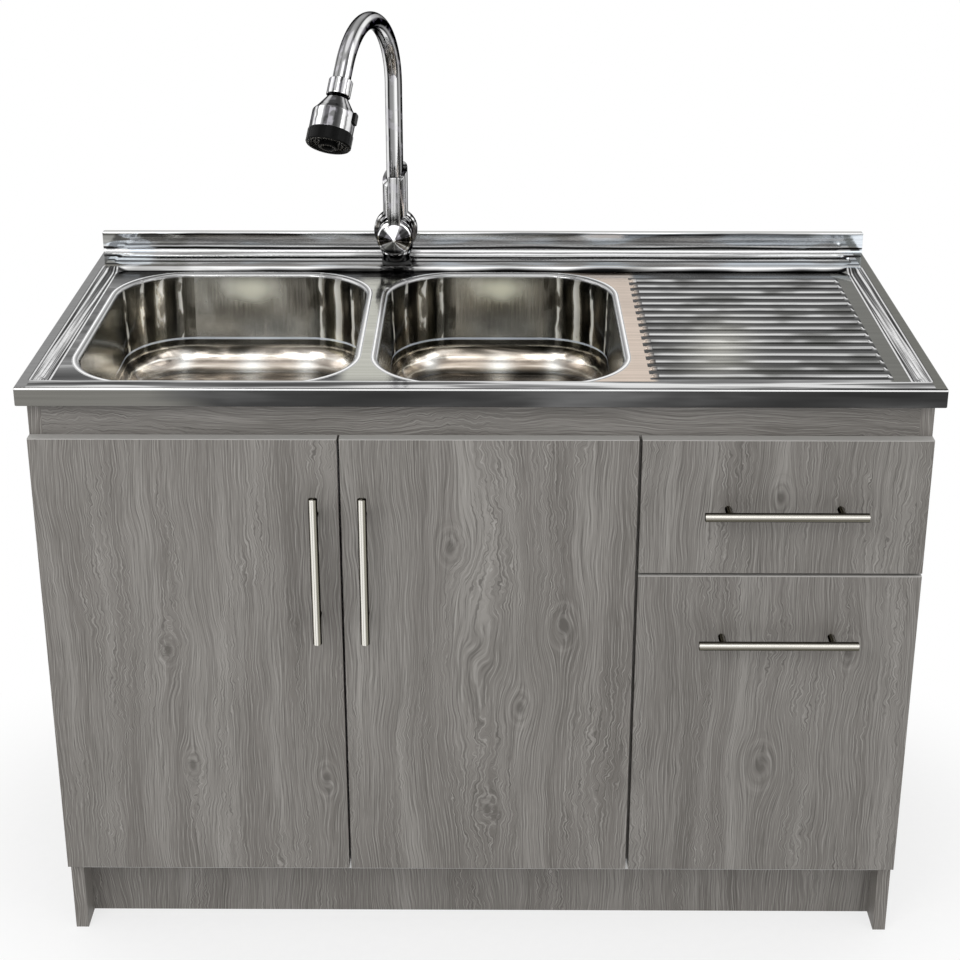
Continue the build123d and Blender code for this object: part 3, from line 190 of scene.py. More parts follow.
class Skin:
    """A surface with exact normals, which smooth shading then follows."""

    def __init__(self):
        self.points = []
        self.normals = []
        self.faces = []
        self.uvs = []
        self.known = {}

    def point(self, place, normal, uv=(0, 0)):
        key = tuple(round(value, 3) for value in (*place, *normal, *uv))
        if key not in self.known:
            self.known[key] = len(self.points)
            self.points.append(Vector(place))
            self.normals.append(Vector(normal).normalized())
            self.uvs.append(uv)
        return self.known[key]

    def face(self, corners):
        corners = [c for i, c in enumerate(corners) if self.points[c] != self.points[corners[i - 1]]]
        if len(corners) < 3:
            return
        places = [self.points[c] for c in corners]
        facing = sum((a.cross(b) for a, b in zip(places, places[1:] + places[:1])), Vector())
        if facing.dot(sum((self.normals[c] for c in corners), Vector())) < 0:
            corners = corners[::-1]
        self.faces.append(corners)

    def strip(self, rows, closed=True):
        """Faces between successive rows of points."""
        for row, after in zip(rows, rows[1:]):
            for index in range(len(row) if closed else len(row) - 1):
                beside = (index + 1) % len(row)
                self.face([row[index], row[beside], after[beside], after[index]])

    def flat(self, edge, holes, place, normal):
        """A flat face inside an edge and around holes, all lists of 2-D points, placed by a function."""
        loops = [[point[:2] for point in loop] for loop in (edge, *holes)]
        points = [Vector(point) for loop in loops for point in loop]
        numbers = []
        count = 0
        for loop in loops:
            numbers.append(list(range(count, count + len(loop))))
            count += len(loop)
        found, _, triangles, _, _, sources = delaunay_2d_cdt(points, [], numbers, 1, 1e-5)
        for triangle, inside in zip(triangles, sources):
            if 0 in inside and len(inside) == 1:
                self.face([self.point(place(found[v].x, found[v].y), normal) for v in triangle])

    def turned(self, profile, origin, axis, around=64, cut=None):
        """Turns a profile of (along, radius, normal along, normal radius) about an axis. The UV starts at
        the front, or at the top where the axis itself runs to the front."""
        axis = Vector(axis).normalized()
        start = UP if abs(axis.dot(FORWARD)) > 0.99 else FORWARD
        across = (start - axis * start.dot(axis)).normalized()
        beyond = axis.cross(across)
        total = sum(math.dist(a[:2], b[:2]) for a, b in zip(profile, profile[1:]))
        rows = []
        travelled = 0
        for number, (along, radius, lean, out) in enumerate(profile):
            if number:
                travelled += math.dist(profile[number - 1][:2], (along, radius))
            row = []
            for index in range(around + 1):
                angle = 2 * math.pi * index / around
                spoke = across * math.cos(angle) + beyond * math.sin(angle)
                place = origin + axis * along + spoke * radius
                normal = axis * lean + spoke * out
                if cut:
                    place, normal = cut(place, normal)
                row.append(self.point(place, normal, (index / around, travelled / total)))
            rows.append(row)
        self.strip(rows, closed=False)

    def swept(self, route, radius, around=48):
        """A round tube along a route of (place, heading) pairs that lies in one plane."""
        side = route[0][1].cross(route[-1][1]).normalized()
        total = sum((b[0] - a[0]).length for a, b in zip(route, route[1:]))
        rows = []
        travelled = 0
        for number, (place, heading) in enumerate(route):
            if number:
                travelled += (place - route[number - 1][0]).length
            other = heading.cross(side)
            row = []
            for index in range(around + 1):
                angle = 2 * math.pi * index / around
                spoke = side * math.cos(angle) + other * math.sin(angle)
                row.append(self.point(place + spoke * radius, spoke, (index / around, travelled / total)))
            rows.append(row)
        self.strip(rows, closed=False)

    def thicken(self, thickness):
        """Gives the surface an underside and closes the open edges between the two."""
        count = len(self.points)
        upper = list(self.faces)
        self.points += [p - n * thickness for p, n in zip(self.points, self.normals)]
        self.normals += [-n for n in self.normals]
        self.uvs += list(self.uvs)
        self.faces += [[c + count for c in corners[::-1]] for corners in upper]
        edges = {}
        for corners in upper:
            for a, b in zip(corners, corners[1:] + corners[:1]):
                edges[(a, b)] = True
        for a, b in edges:
            if (b, a) not in edges:
                places = [self.points[b], self.points[a], self.points[a + count], self.points[b + count]]
                out = (places[1] - places[0]).cross(places[2] - places[0])
                if out.length > 1e-9:
                    self.face([self.point(place, out.normalized()) for place in places])

    def piece(self, name, material, body, slot, *nodes):
        """Makes the Blender object, hangs it on the body that it rides on, and hides the CAD nodes that it
        stands for.
        """
        mesh = bpy.data.meshes.new(name)
        mesh.from_pydata([p * MM for p in self.points], [], self.faces)
        mesh.shade_smooth()
        layer = mesh.uv_layers.new(name="UVMap")
        for loop in mesh.loops:
            layer.data[loop.index].uv = self.uvs[loop.vertex_index]
        mesh.normals_split_custom_set_from_vertices(self.normals)
        mesh.materials.append(material)
        piece = bpy.data.objects.new(name, mesh)
        bpy.context.scene.collection.objects.link(piece)
        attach(piece, body)
        if nodes:
            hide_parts(*nodes)
        return piece


# ------------------------------------------------------------------------------ shader tools
def opaque(value):
    """A grey level or a colour as an opaque colour."""
    colour = (value, value, value) if isinstance(value, (int, float)) else value
    return (*colour, 1)


class Shader:
    """Short calls that build a material's or the world's nodes."""

    def __init__(self, owner):
        owner.use_nodes = True
        self.tree = owner.node_tree
        self.tree.nodes.clear()

    def node(self, kind, inputs=None, **settings):
        node = self.tree.nodes.new("ShaderNode" + kind)
        for name, value in settings.items():
            setattr(node, name, value)
        for key, value in (inputs or {}).items():
            if isinstance(value, bpy.types.NodeSocket):
                self.tree.links.new(value, node.inputs[key])
            else:
                node.inputs[key].default_value = value
        return node

    def math(self, operation, a, b=0.0):
        return self.node("Math", {0: a, 1: b}, operation=operation).outputs[0]

    def add(self, a, b):
        return self.math("ADD", a, b)

    def times(self, a, b):
        return self.math("MULTIPLY", a, b)

    def place(self, kind="Object"):
        return self.node("TexCoord").outputs[kind]

    def apart(self, vector):
        return self.node("SeparateXYZ", {0: vector}).outputs

    def vector(self, x, y, z):
        return self.node("CombineXYZ", {0: x, 1: y, 2: z}).outputs[0]

    def length(self, x, y):
        return self.node("VectorMath", {0: self.vector(x, y, 0.0)}, operation="LENGTH").outputs["Value"]

    def scaled(self, vector, scale):
        return self.node("Mapping", {"Vector": vector, "Scale": scale}).outputs[0]

    def noise(self, vector, scale=1.0, detail=2.0, roughness=0.5, distortion=0.0):
        inputs = {"Vector": vector, "Scale": scale, "Detail": detail}
        inputs.update({"Roughness": roughness, "Distortion": distortion})
        return self.node("TexNoise", inputs).outputs[0]

    def spread(self, x, y, z, detail=2.0, roughness=0.5, distortion=0.0):
        """Noise over three parts, each a number, a socket or a (socket, scale) pair."""
        parts = [self.times(*part) if isinstance(part, tuple) else part for part in (x, y, z)]
        return self.noise(self.vector(*parts), 1.0, detail, roughness, distortion)

    def patches(self, x, y, z, detail=2.0, roughness=0.5, distortion=0.0):
        return self.level(self.spread(x, y, z, detail, roughness, distortion))

    def waver(self, noise, size):
        """A noise value swung about 0."""
        return self.times(self.add(noise, -0.5), size)

    def squares(self, *parts):
        """The sum of the squares of (value, middle, size) parts, each taken from its middle in sizes."""
        total = 0.0
        for value, middle, size in parts:
            total = self.add(total, self.math("POWER", self.times(self.add(value, -middle), 1 / size), 2.0))
        return total

    def spot(self, *parts):
        """A soft spot: 1 at the middles of its (value, middle, size) parts, and 0 a few sizes away."""
        return self.math("EXPONENT", self.times(self.squares(*parts), -1.0))

    def ramp(self, factor, *stops):
        """A colour ramp from (position, grey level or colour) stops."""
        node = self.node("ValToRGB", {0: factor})
        while len(node.color_ramp.elements) < len(stops):
            node.color_ramp.elements.new(0.5)
        for element, (position, value) in zip(node.color_ramp.elements, stops):
            element.position = position
            element.color = opaque(value)
        return node.outputs[0]

    def smooth(self, value, low, high, to_low=0.0, to_high=1.0):
        inputs = {0: value, 1: low, 2: high, 3: to_low, 4: to_high}
        return self.node("MapRange", inputs, interpolation_type="SMOOTHSTEP").outputs[0]

    def linear(self, value, low, high, to_low=0.0, to_high=1.0):
        return self.node("MapRange", {0: value, 1: low, 2: high, 3: to_low, 4: to_high}).outputs[0]

    def level(self, value):
        """A noise value spread over 0 to 1."""
        return self.linear(value, 0.3, 0.7)

    def past(self, value, edge, blur):
        """0 before an edge and 1 past it, or the other way round with a negative blur."""
        return self.smooth(value, edge - blur, edge + blur)

    def band(self, value, low, high, blur):
        """1 between low and high, falling to 0 over the blur on either side."""
        rising = self.past(value, low, blur)
        falling = self.smooth(value, high - blur, high + blur, 1.0, 0.0)
        return self.times(rising, falling)

    def mix(self, factor, a, b, blend="MIX"):
        """Mixes two tones, each a socket, a grey level or a colour."""
        node = self.node("Mix", {0: factor}, data_type="RGBA", blend_type=blend)
        for index, value in ((6, a), (7, b)):
            if isinstance(value, bpy.types.NodeSocket):
                self.tree.links.new(value, node.inputs[index])
            else:
                node.inputs[index].default_value = opaque(value)
        return node.outputs[2]

    def deepen(self, tone, power):
        """Darkens the middle levels of a tone and keeps its whites."""
        return self.node("Gamma", {0: tone, 1: power}).outputs[0]

    def bump(self, height, strength, distance):
        inputs = {"Height": height, "Strength": strength, "Distance": distance}
        return self.node("Bump", inputs).outputs[0]

    def surface(self, **sockets):
        """The Principled shader, with underscores in its socket names for spaces."""
        inputs = {name.replace("_", " "): value for name, value in sockets.items()}
        shader = self.node("BsdfPrincipled", inputs)
        self.node("OutputMaterial", {0: shader.outputs[0]})


def material(name):
    made = bpy.data.materials.new(name)
    return made, Shader(made)


# ------------------------------------------------------------------------------ camera, light and stage
def make_camera():
    camera = bpy.data.objects.new("camera", bpy.data.cameras.new("camera"))
    bpy.context.scene.collection.objects.link(camera)
    camera.location = (0.0124, -2.4569, 1.714)
    camera.rotation_euler = (math.radians(69.012), 0, math.radians(0.335))
    camera.data.lens = 68.327
    camera.data.sensor_width = 36.0
    camera.data.shift_y = -0.1146
    bpy.context.scene.camera = camera


def make_lamp(name, place, target, size, power):
    lamp = bpy.data.objects.new(name, bpy.data.lights.new(name, "AREA"))
    bpy.context.scene.collection.objects.link(lamp)
    lamp.location = place
    lamp.rotation_euler = (Vector(target) - Vector(place)).to_track_quat("-Z", "Y").to_euler()
    lamp.data.shape = "RECTANGLE"
    lamp.data.size, lamp.data.size_y = size
    lamp.data.energy = power


def make_world():
    """White to the camera. Metal sees the same white low down, and a studio's soft boxes higher up. Matt
    surfaces get an even, slightly dimmer white."""
    world = bpy.data.worlds.new("studio")
    bpy.context.scene.world = world
    s = Shader(world)
    x, y, z = s.apart(s.place("Generated"))
    azimuth = s.math("ARCTAN2", x, s.times(y, -1.0))
    wall = s.smooth(z, 0.45, 0.8, 1.0, 0.55)
    front_box = s.times(s.band(azimuth, -0.5, 0.35, 0.05), s.band(z, 0.55, 0.86, 0.03))
    left_box = s.times(s.band(azimuth, -2.1, -1.35, 0.05), s.band(z, 0.15, 0.8, 0.05))
    right_box = s.times(s.band(azimuth, 1.15, 1.6, 0.04), s.band(z, 0.1, 0.85, 0.05))
    top_box = s.smooth(z, 0.93, 0.97, 0.0, 1.0)
    seen = wall
    for box, strength in ((front_box, 1.4), (left_box, 0.8), (right_box, 0.9), (top_box, 0.6)):
        seen = s.add(seen, s.times(box, strength))
    path = s.node("LightPath").outputs
    white = s.math("MAXIMUM", path["Is Camera Ray"], path["Is Transmission Ray"])
    level = s.node("Mix", {0: path["Is Glossy Ray"], 2: 0.8, 3: seen}, data_type="FLOAT").outputs[0]
    strength = s.node("Mix", {0: white, 2: level, 3: 1.0}, data_type="FLOAT").outputs[0]
    shader = s.node("Background", {"Color": (1, 1, 1, 1), "Strength": strength})
    s.node("OutputWorld", {0: shader.outputs[0]})


def make_floor():
    """A pale floor that keeps the unit's shadow, and fades to the white background away from it for the
    camera and for metal and glass."""
    made, s = material("floor")
    x, y, _ = s.apart(s.place())
    reach = s.length(x, s.times(y, 1.6))
    path = s.node("LightPath").outputs
    seen = s.math("MAXIMUM", path["Is Camera Ray"], path["Is Glossy Ray"])
    seen = s.math("MAXIMUM", seen, path["Is Transmission Ray"])
    fade = s.times(seen, s.smooth(reach, 0.62, 1.05, 0.72, 1.0))
    grain = s.noise(s.place(), 60.0, 3.0)
    colour = s.ramp(grain, (0.3, 0.84), (0.7, 0.88))
    plain = s.node("BsdfDiffuse", {"Color": colour})
    white = s.node("Emission", {"Color": (1, 1, 1, 1), "Strength": 1.0})
    mixed = s.node("MixShader", {0: fade, 1: plain.outputs[0], 2: white.outputs[0]})
    s.node("OutputMaterial", {0: mixed.outputs[0]})
    mesh = bpy.data.meshes.new("floor")
    corners = [(-FLOOR, -FLOOR, 0), (FLOOR, -FLOOR, 0), (FLOOR, FLOOR, 0), (-FLOOR, FLOOR, 0)]
    mesh.from_pydata(corners, [], [(0, 1, 2, 3)])
    mesh.materials.append(made)
    floor = bpy.data.objects.new("floor", mesh)
    bpy.context.scene.collection.objects.link(floor)
    floor.location.z = -0.0005


# ------------------------------------------------------------------------------ materials
# Where the painted reflections of the sink top and the bowls start and end, in metres.
FASCIA_END = -0.2855
LIP_END = -0.25975
LEDGE_START = 0.219
BACK_EDGE = 0.304
UPSTAND_FOOT = 0.8564
SIDE_LIP = 0.584
SLOPE_SPAN = (0.561, 0.5865)
LEDGE_SPAN = (0.218, 0.299)
UPSTAND_SPAN = (0.8562, 0.888)
ROWS_SPAN = (0.2225, 0.5405)
ROWS_FRONT = -0.236
RIB_TIPS = (0.23, 0.537)
BETWEEN_BOWLS = (-0.185, -0.115)
DULL_END = 0.536
COVE_TOP = 0.7355
RIM_REACH = 0.0105

# Painted reflections round the turned pieces, as streaks: (share of a turn from the front, level). Painted
# reflections across them, as rings: (low, high, level) by the share of the way along the piece.
COLUMN_REFLECTIONS = (
    (0.0, 0.05), (0.02, 1.0), (0.06, 1.0), (0.075, 0.04), (0.1, 0.55), (0.14, 0.7), (0.155, 0.08),
    (0.19, 0.95), (0.21, 0.1), (0.23, 0.03), (0.4, 0.6), (0.6, 0.4), (0.77, 0.03), (0.79, 0.9), (0.82, 0.8),
    (0.835, 0.06), (0.86, 0.75), (0.89, 1.0), (0.905, 0.05), (0.93, 1.0), (0.965, 0.9), (0.98, 0.04),
)
COLUMN_REFLECTION_RINGS = ((0.0, 0.12, 0.03), (0.125, 0.14, 0.8), (0.15, 0.2, 0.04))
CAP_REFLECTION_RINGS = ((0.24, 0.3, 1.0), (0.33, 0.36, 0.05), (0.93, 1.1, 1.0))
TUBE_REFLECTIONS = (
    (0.0, 0.03), (0.05, 0.16), (0.08, 0.95), (0.13, 1.0), (0.15, 0.08), (0.19, 0.62), (0.24, 0.7),
    (0.27, 0.3), (0.33, 0.26), (0.36, 0.1), (0.38, 0.95), (0.43, 1.0), (0.45, 0.15), (0.485, 0.03),
    (0.52, 0.1), (0.55, 0.8), (0.62, 0.95), (0.68, 0.8), (0.695, 0.03), (0.715, 0.03), (0.74, 0.28),
    (0.8, 0.36), (0.83, 0.95), (0.86, 1.0), (0.88, 0.08), (0.92, 0.5), (0.95, 0.12), (0.98, 0.03),
)
CAP_REFLECTIONS = (
    (0.0, 0.95), (0.03, 0.4), (0.05, 0.12), (0.075, 0.1), (0.09, 0.9), (0.125, 0.85), (0.14, 0.06),
    (0.3, 0.03), (0.34, 0.5), (0.37, 0.95), (0.4, 0.3), (0.47, 0.14), (0.51, 0.45), (0.53, 0.1),
    (0.57, 0.75), (0.64, 1.0), (0.67, 0.3), (0.72, 0.05), (0.9, 0.03), (0.96, 0.95),
)
HEAD_REFLECTIONS = (
    (0.0, 0.13), (0.06, 0.16), (0.08, 0.95), (0.115, 0.85), (0.13, 0.08), (0.155, 0.9), (0.175, 0.12),
    (0.2, 0.75), (0.23, 0.04), (0.4, 0.3), (0.6, 0.15), (0.77, 0.05), (0.8, 0.7), (0.835, 0.1),
    (0.86, 0.85), (0.885, 0.9), (0.9, 0.06), (0.93, 0.85), (0.945, 0.25), (0.97, 0.12),
)
DOOR_BAR_REFLECTIONS = (
    (0.0, (0.8, 0.78, 0.71)), (0.025, (0.84, 0.82, 0.76)), (0.045, (0.26, 0.25, 0.21)),
    (0.1, (0.3, 0.285, 0.235)), (0.14, (0.05, 0.045, 0.035)), (0.25, (0.02, 0.02, 0.018)),
    (0.5, (0.35, 0.34, 0.3)), (0.75, (0.02, 0.02, 0.018)), (0.83, (0.16, 0.15, 0.12)),
    (0.88, (0.42, 0.4, 0.35)), (0.92, (0.98, 0.96, 0.9)), (0.95, (0.9, 0.88, 0.82)),
    (0.965, (0.35, 0.33, 0.28)), (0.985, (0.95, 0.93, 0.88)),
)
DRAWER_BAR_REFLECTIONS = (
    (0.0, (0.22, 0.21, 0.17)), (0.03, (0.07, 0.065, 0.05)), (0.08, (0.24, 0.225, 0.18)),
    (0.12, (0.05, 0.045, 0.035)), (0.25, (0.03, 0.03, 0.025)), (0.5, (0.4, 0.38, 0.34)),
    (0.75, (0.12, 0.115, 0.1)), (0.82, (0.12, 0.11, 0.09)), (0.86, (0.5, 0.48, 0.43)),
    (0.9, (0.72, 0.7, 0.65)), (0.94, (0.76, 0.74, 0.69)), (0.97, (0.36, 0.34, 0.3)),
)


def deck_tone(s, x, y):
    """The sunk deck in painted reflections: streaked grey, pale between the bowls, warm by the drainer, dull
    at the right end.
    """
    streaks = s.patches((x, 2.2), (y, 24.0), 2.0, 3.0, 0.55, 0.3)
    tone = s.ramp(streaks, (0.0, 0.16), (0.25, 0.27), (0.5, 0.36), (0.75, 0.46), (0.95, 0.74))
    # A pale painted reflection between the bowls.
    between = s.times(s.band(x, *BETWEEN_BOWLS, 0.012), s.band(y, -0.25, 0.19, 0.03))
    tone = s.mix(s.times(between, 0.85), tone, (0.84, 0.84, 0.78))
    # A dark painted reflection across the front between the bowls.
    front = s.times(s.band(x, -0.215, -0.085, 0.01), s.band(y, -0.262, -0.225, 0.004))
    tone = s.mix(s.times(front, s.smooth(streaks, 0.4, 0.6)), tone, (0.06, 0.06, 0.05))
    # The tap's dark painted reflection on the deck behind the bowls.
    behind = s.times(s.band(x, *BETWEEN_BOWLS, 0.004), s.band(y, 0.195, 0.222, 0.003))
    tone = s.mix(s.times(behind, s.smooth(streaks, 0.3, 0.6)), tone, 0.03)
    # A warm painted reflection in patches by the drainer.
    warm = s.times(s.band(x, 0.12, 0.23, 0.005), s.band(y, -0.268, 0.219, 0.003))
    patches = s.patches((x, 9.0), (y, 6.0), 5.0)
    tone = s.mix(warm, tone, s.mix(patches, (0.93, 0.83, 0.75), (0.84, 0.76, 0.69)))
    # The right end: a duller painted reflection, with a paler painted wedge at its back.
    tone = s.mix(s.past(x, DULL_END, 0.002), tone, (0.37, 0.37, 0.35))
    wedge = s.smooth(s.add(x, s.times(y, 1.1)), 0.752, 0.756)
    return s.mix(s.times(wedge, s.band(x, 0.534, 0.562, 0.001)), tone, (0.62, 0.62, 0.6))


def row_count(s, y, shift):
    """Counts the drainer's rows backwards from the front rib, whose middle is shifted by so many mm."""
    return s.times(s.add(y, (shift - RIB_YS[0]) * MM), 1 / (RIB_PITCH * MM))


def drainer_tone(s, x, y):
    """The drainer's rows in painted reflections: each a bright rib with a black line behind it, with a
    bright pool over them.
    """
    sway = s.add(s.spread((x, 7.0), (y, 40.0), 0.0), -0.5)
    row = s.math("FRACT", s.add(row_count(s, y, RIB_PITCH / 2), s.times(sway, 0.1)))
    tone = s.ramp(
        row,
        (0.0, 0.2), (0.12, 0.26), (0.22, 0.34), (0.28, 0.22), (0.34, 0.8), (0.42, 1.0), (0.47, 0.5),
        (0.58, 0.34), (0.64, 0.04), (0.76, 0.04), (0.8, 0.22), (1.0, 0.2),
    )
    runs = s.patches((x, 11.0), (y, 18.0), 7.0, 2.0)
    tone = s.mix(s.smooth(runs, 0.4, 0.9, 0.0, 0.6), tone, (0.16, 0.16, 0.15))
    pool = s.spot((s.add(x, s.times(y, -0.16)), 0.345, 0.045), (y, -0.12, 0.105))
    open_row = s.add(s.smooth(row, 0.64, 0.6), s.smooth(row, 0.78, 0.84))
    tone = s.mix(s.times(s.times(pool, open_row), 0.5), tone, (1.0, 0.99, 0.93))
    # Dark painted reflections at the ribs' left tips.
    away = s.times(s.add(row, -0.5), RIB_PITCH)
    taper = s.linear(x, 0.2215, 0.23, 1.0, 6.0)
    past = s.add(s.math("ABSOLUTE", away), s.times(taper, -1.0))
    dark_tip_reflection = s.times(s.band(x, 0.222, 0.234, 0.001), s.smooth(past, 0.6, -0.6))
    tone = s.mix(dark_tip_reflection, tone, 0.04)
    # A painted glint at each end of each rib.
    for end_x, size in zip(RIB_TIPS, (0.0018, 0.0026)):
        off = s.squares((x, end_x, size), (away, -1.5, 2.0))
        tone = s.mix(s.smooth(off, 1.4, 0.5), tone, 1.0)
    return tone


def ledge_tone(s, x, y):
    """The ridge before the tap ledge and the ledge itself: painted reflections in bands that run the whole
    width.
    """
    runs = s.patches((x, 3.2), 0.0, 4.0, 3.0, 0.6)
    back = s.add(y, s.waver(runs, 0.004))
    tone = s.ramp(
        s.linear(back, *LEDGE_SPAN),
        (0.0, 0.3), (0.02, 0.04), (0.05, 0.04), (0.07, 1.0), (0.12, 1.0), (0.15, (0.7, 0.64, 0.58)),
        (0.185, 0.95), (0.21, 0.06), (0.25, 0.12), (0.29, 0.9), (0.42, 1.0), (0.45, 0.14), (0.53, 0.22),
        (0.56, 1.0), (0.68, 1.0), (0.71, 0.08), (0.79, 0.12), (0.81, 1.0), (0.91, 1.0), (0.94, 0.14),
        (0.97, 1.0),
    )
    # Patches where the painted reflections are dimmer.
    dim_reflection = s.smooth(s.patches((x, 6.0), (y, 30.0), 9.0, 2.0), 0.55, 0.9)
    return s.mix(s.times(dim_reflection, 0.5), tone, (0.42, 0.42, 0.41))


def upstand_tone(s, x, z):
    """The upstand's face in painted reflections: grey with pale patches, a white line at its foot and
    another at its top edge.
    """
    runs = s.patches((x, 3.0), 0.0, (z, 9.0), 3.0)
    height = s.add(z, s.waver(runs, 0.003))
    tone = s.ramp(
        s.linear(height, *UPSTAND_SPAN),
        (0.0, 1.0), (0.1, 1.0), (0.14, 0.6), (0.17, 0.08), (0.24, 0.1), (0.28, 0.95), (0.36, 1.0),
        (0.4, 0.62), (0.55, 0.72), (0.8, 0.6), (0.88, 0.12), (0.94, 0.2), (0.97, 1.0),
    )
    pale = s.smooth(s.patches((x, 4.2), 1.0, (z, 20.0), 2.0), 0.45, 0.6)
    tone = s.mix(s.times(s.times(pale, s.band(z, 0.867, 0.885, 0.002)), 0.9), tone, (0.9, 0.95, 1.0))
    dull = s.smooth(s.patches((x, 5.0), 8.0, (z, 14.0), 2.0), 0.55, 0.75)
    tone = s.mix(s.times(dull, s.times(s.band(z, 0.866, 0.886, 0.002), 0.6)), tone, (0.4, 0.4, 0.37))
    # Painted glints towards the ends of the upstand.
    ends = s.smooth(s.math("ABSOLUTE", x), 0.47, 0.56)
    painted_glint = s.patches((x, 14.0), 3.0, (z, 50.0), 2.0)
    return s.mix(s.times(ends, s.smooth(painted_glint, 0.5, 0.62)), tone, (0.92, 0.96, 1.0))


def slope_tone(s, side, y):
    """The trough at each end: painted reflection streaks that cross between two bright painted edge lines.
    """
    across = s.linear(side, *SLOPE_SPAN)
    lean = s.add(s.times(across, 4.2), s.times(y, 2.2))
    streaks = s.patches(lean, (y, 1.4), 6.0, 3.0, 0.65)
    inside = s.ramp(streaks, (0.15, 0.04), (0.35, 0.16), (0.5, 0.55), (0.62, 1.0), (0.8, 0.85), (0.95, 0.1))
    line = s.ramp(
        across,
        (0.0, 0.1), (0.04, 1.0), (0.1, 1.0), (0.15, 0.08), (0.2, 0.0), (0.84, 0.0), (0.89, 1.0),
        (0.95, 0.95), (0.98, 0.05),
    )
    return s.mix(s.band(across, 0.19, 0.85, 0.02), line, inside)


def steel_top():
    """Bright pressed steel with painted reflections. Each fold has its own dark and light painted lines,
    which waver along the top.
    """
    made, s = material("steel_top")
    place = s.place()
    x, y, z = s.apart(place)
    side = s.math("ABSOLUTE", x)
    tone = deck_tone(s, x, y)
    rows_end = RIB_YS[-1] * MM + 0.014
    in_rows = s.times(s.band(x, *ROWS_SPAN, 0.0004), s.band(y, ROWS_FRONT, rows_end, 0.0006))
    from_end = s.math("ABSOLUTE", s.add(s.math("FRACT", row_count(s, y, -RIB_PITCH / 2)), -0.5))
    past_tip = s.times(s.smooth(x, 0.2345, 0.2335), s.smooth(from_end, 0.26, 0.23))
    in_rows = s.times(in_rows, s.add(1.0, s.times(past_tip, -1.0)))
    tone = s.mix(in_rows, tone, drainer_tone(s, x, y))
    tone = s.mix(s.past(y, LEDGE_START, 0.0005), tone, ledge_tone(s, x, y))
    tone = s.mix(s.past(z, UPSTAND_FOOT, 0.0002), tone, upstand_tone(s, x, z))
    tone = s.mix(s.past(y, BACK_EDGE, 0.0005), tone, (0.82, 0.82, 0.8))

    # The front lip's painted reflections run along it.
    lip_runs = s.patches((x, 3.0), (y, 60.0), 3.0, 3.0)
    lip = s.ramp(lip_runs, (0.1, 0.18), (0.35, 0.34), (0.5, 0.55), (0.62, 0.9), (0.85, 1.0))
    tone = s.mix(s.past(y, LIP_END, -0.00075), tone, lip)
    # The side lips: painted reflections, lighter on the left one.
    on_side = s.times(s.past(side, SIDE_LIP, 0.0005), s.smooth(y, 0.298, 0.296))
    tone = s.mix(on_side, tone, s.mix(s.smooth(x, 0.0, 0.1), (0.5, 0.5, 0.5), (0.36, 0.36, 0.335)))
    on_slope = s.times(s.band(side, *SLOPE_SPAN, 0.0004), s.band(y, -0.26, 0.224, 0.002))
    tone = s.mix(on_slope, tone, slope_tone(s, side, y))

    # The fascia: a dark painted reflection, paler towards its left end.
    drift = s.patches((x, 3.4), 0.0, (z, 24.0), 3.0)
    dark = s.ramp(drift, (0.1, 0.12), (0.5, 0.165), (0.62, 0.2), (0.9, 0.3))
    left_end = s.smooth(s.add(x, s.times(drift, 0.12)), -0.26, -0.36)
    dark = s.mix(left_end, dark, (0.375, 0.37, 0.35))
    tone = s.mix(s.past(y, FASCIA_END, -0.0003), tone, dark)
    # A painted highlight along the fascia's top edge.
    edge = s.times(s.band(z, 0.8528, 0.8546, 0.0003), s.smooth(y, -0.283, -0.2845))
    tone = s.mix(edge, tone, 1.0)

    brush = s.level(s.noise(s.scaled(place, (3.0, 300.0, 300.0)), 1.0, 3.0, 0.6))
    tone = s.mix(s.smooth(brush, 0.1, 0.9, 0.1, 0.0), tone, 0.05)
    tone = s.deepen(tone, 1.6)
    rough = s.linear(brush, 0.0, 1.0, 0.07, 0.15)
    bump = s.bump(brush, 0.05, 0.0004)
    s.surface(Base_Color=tone, Metallic=1.0, Roughness=rough, Specular_Tint=DULL_EDGE, Normal=bump)
    return made


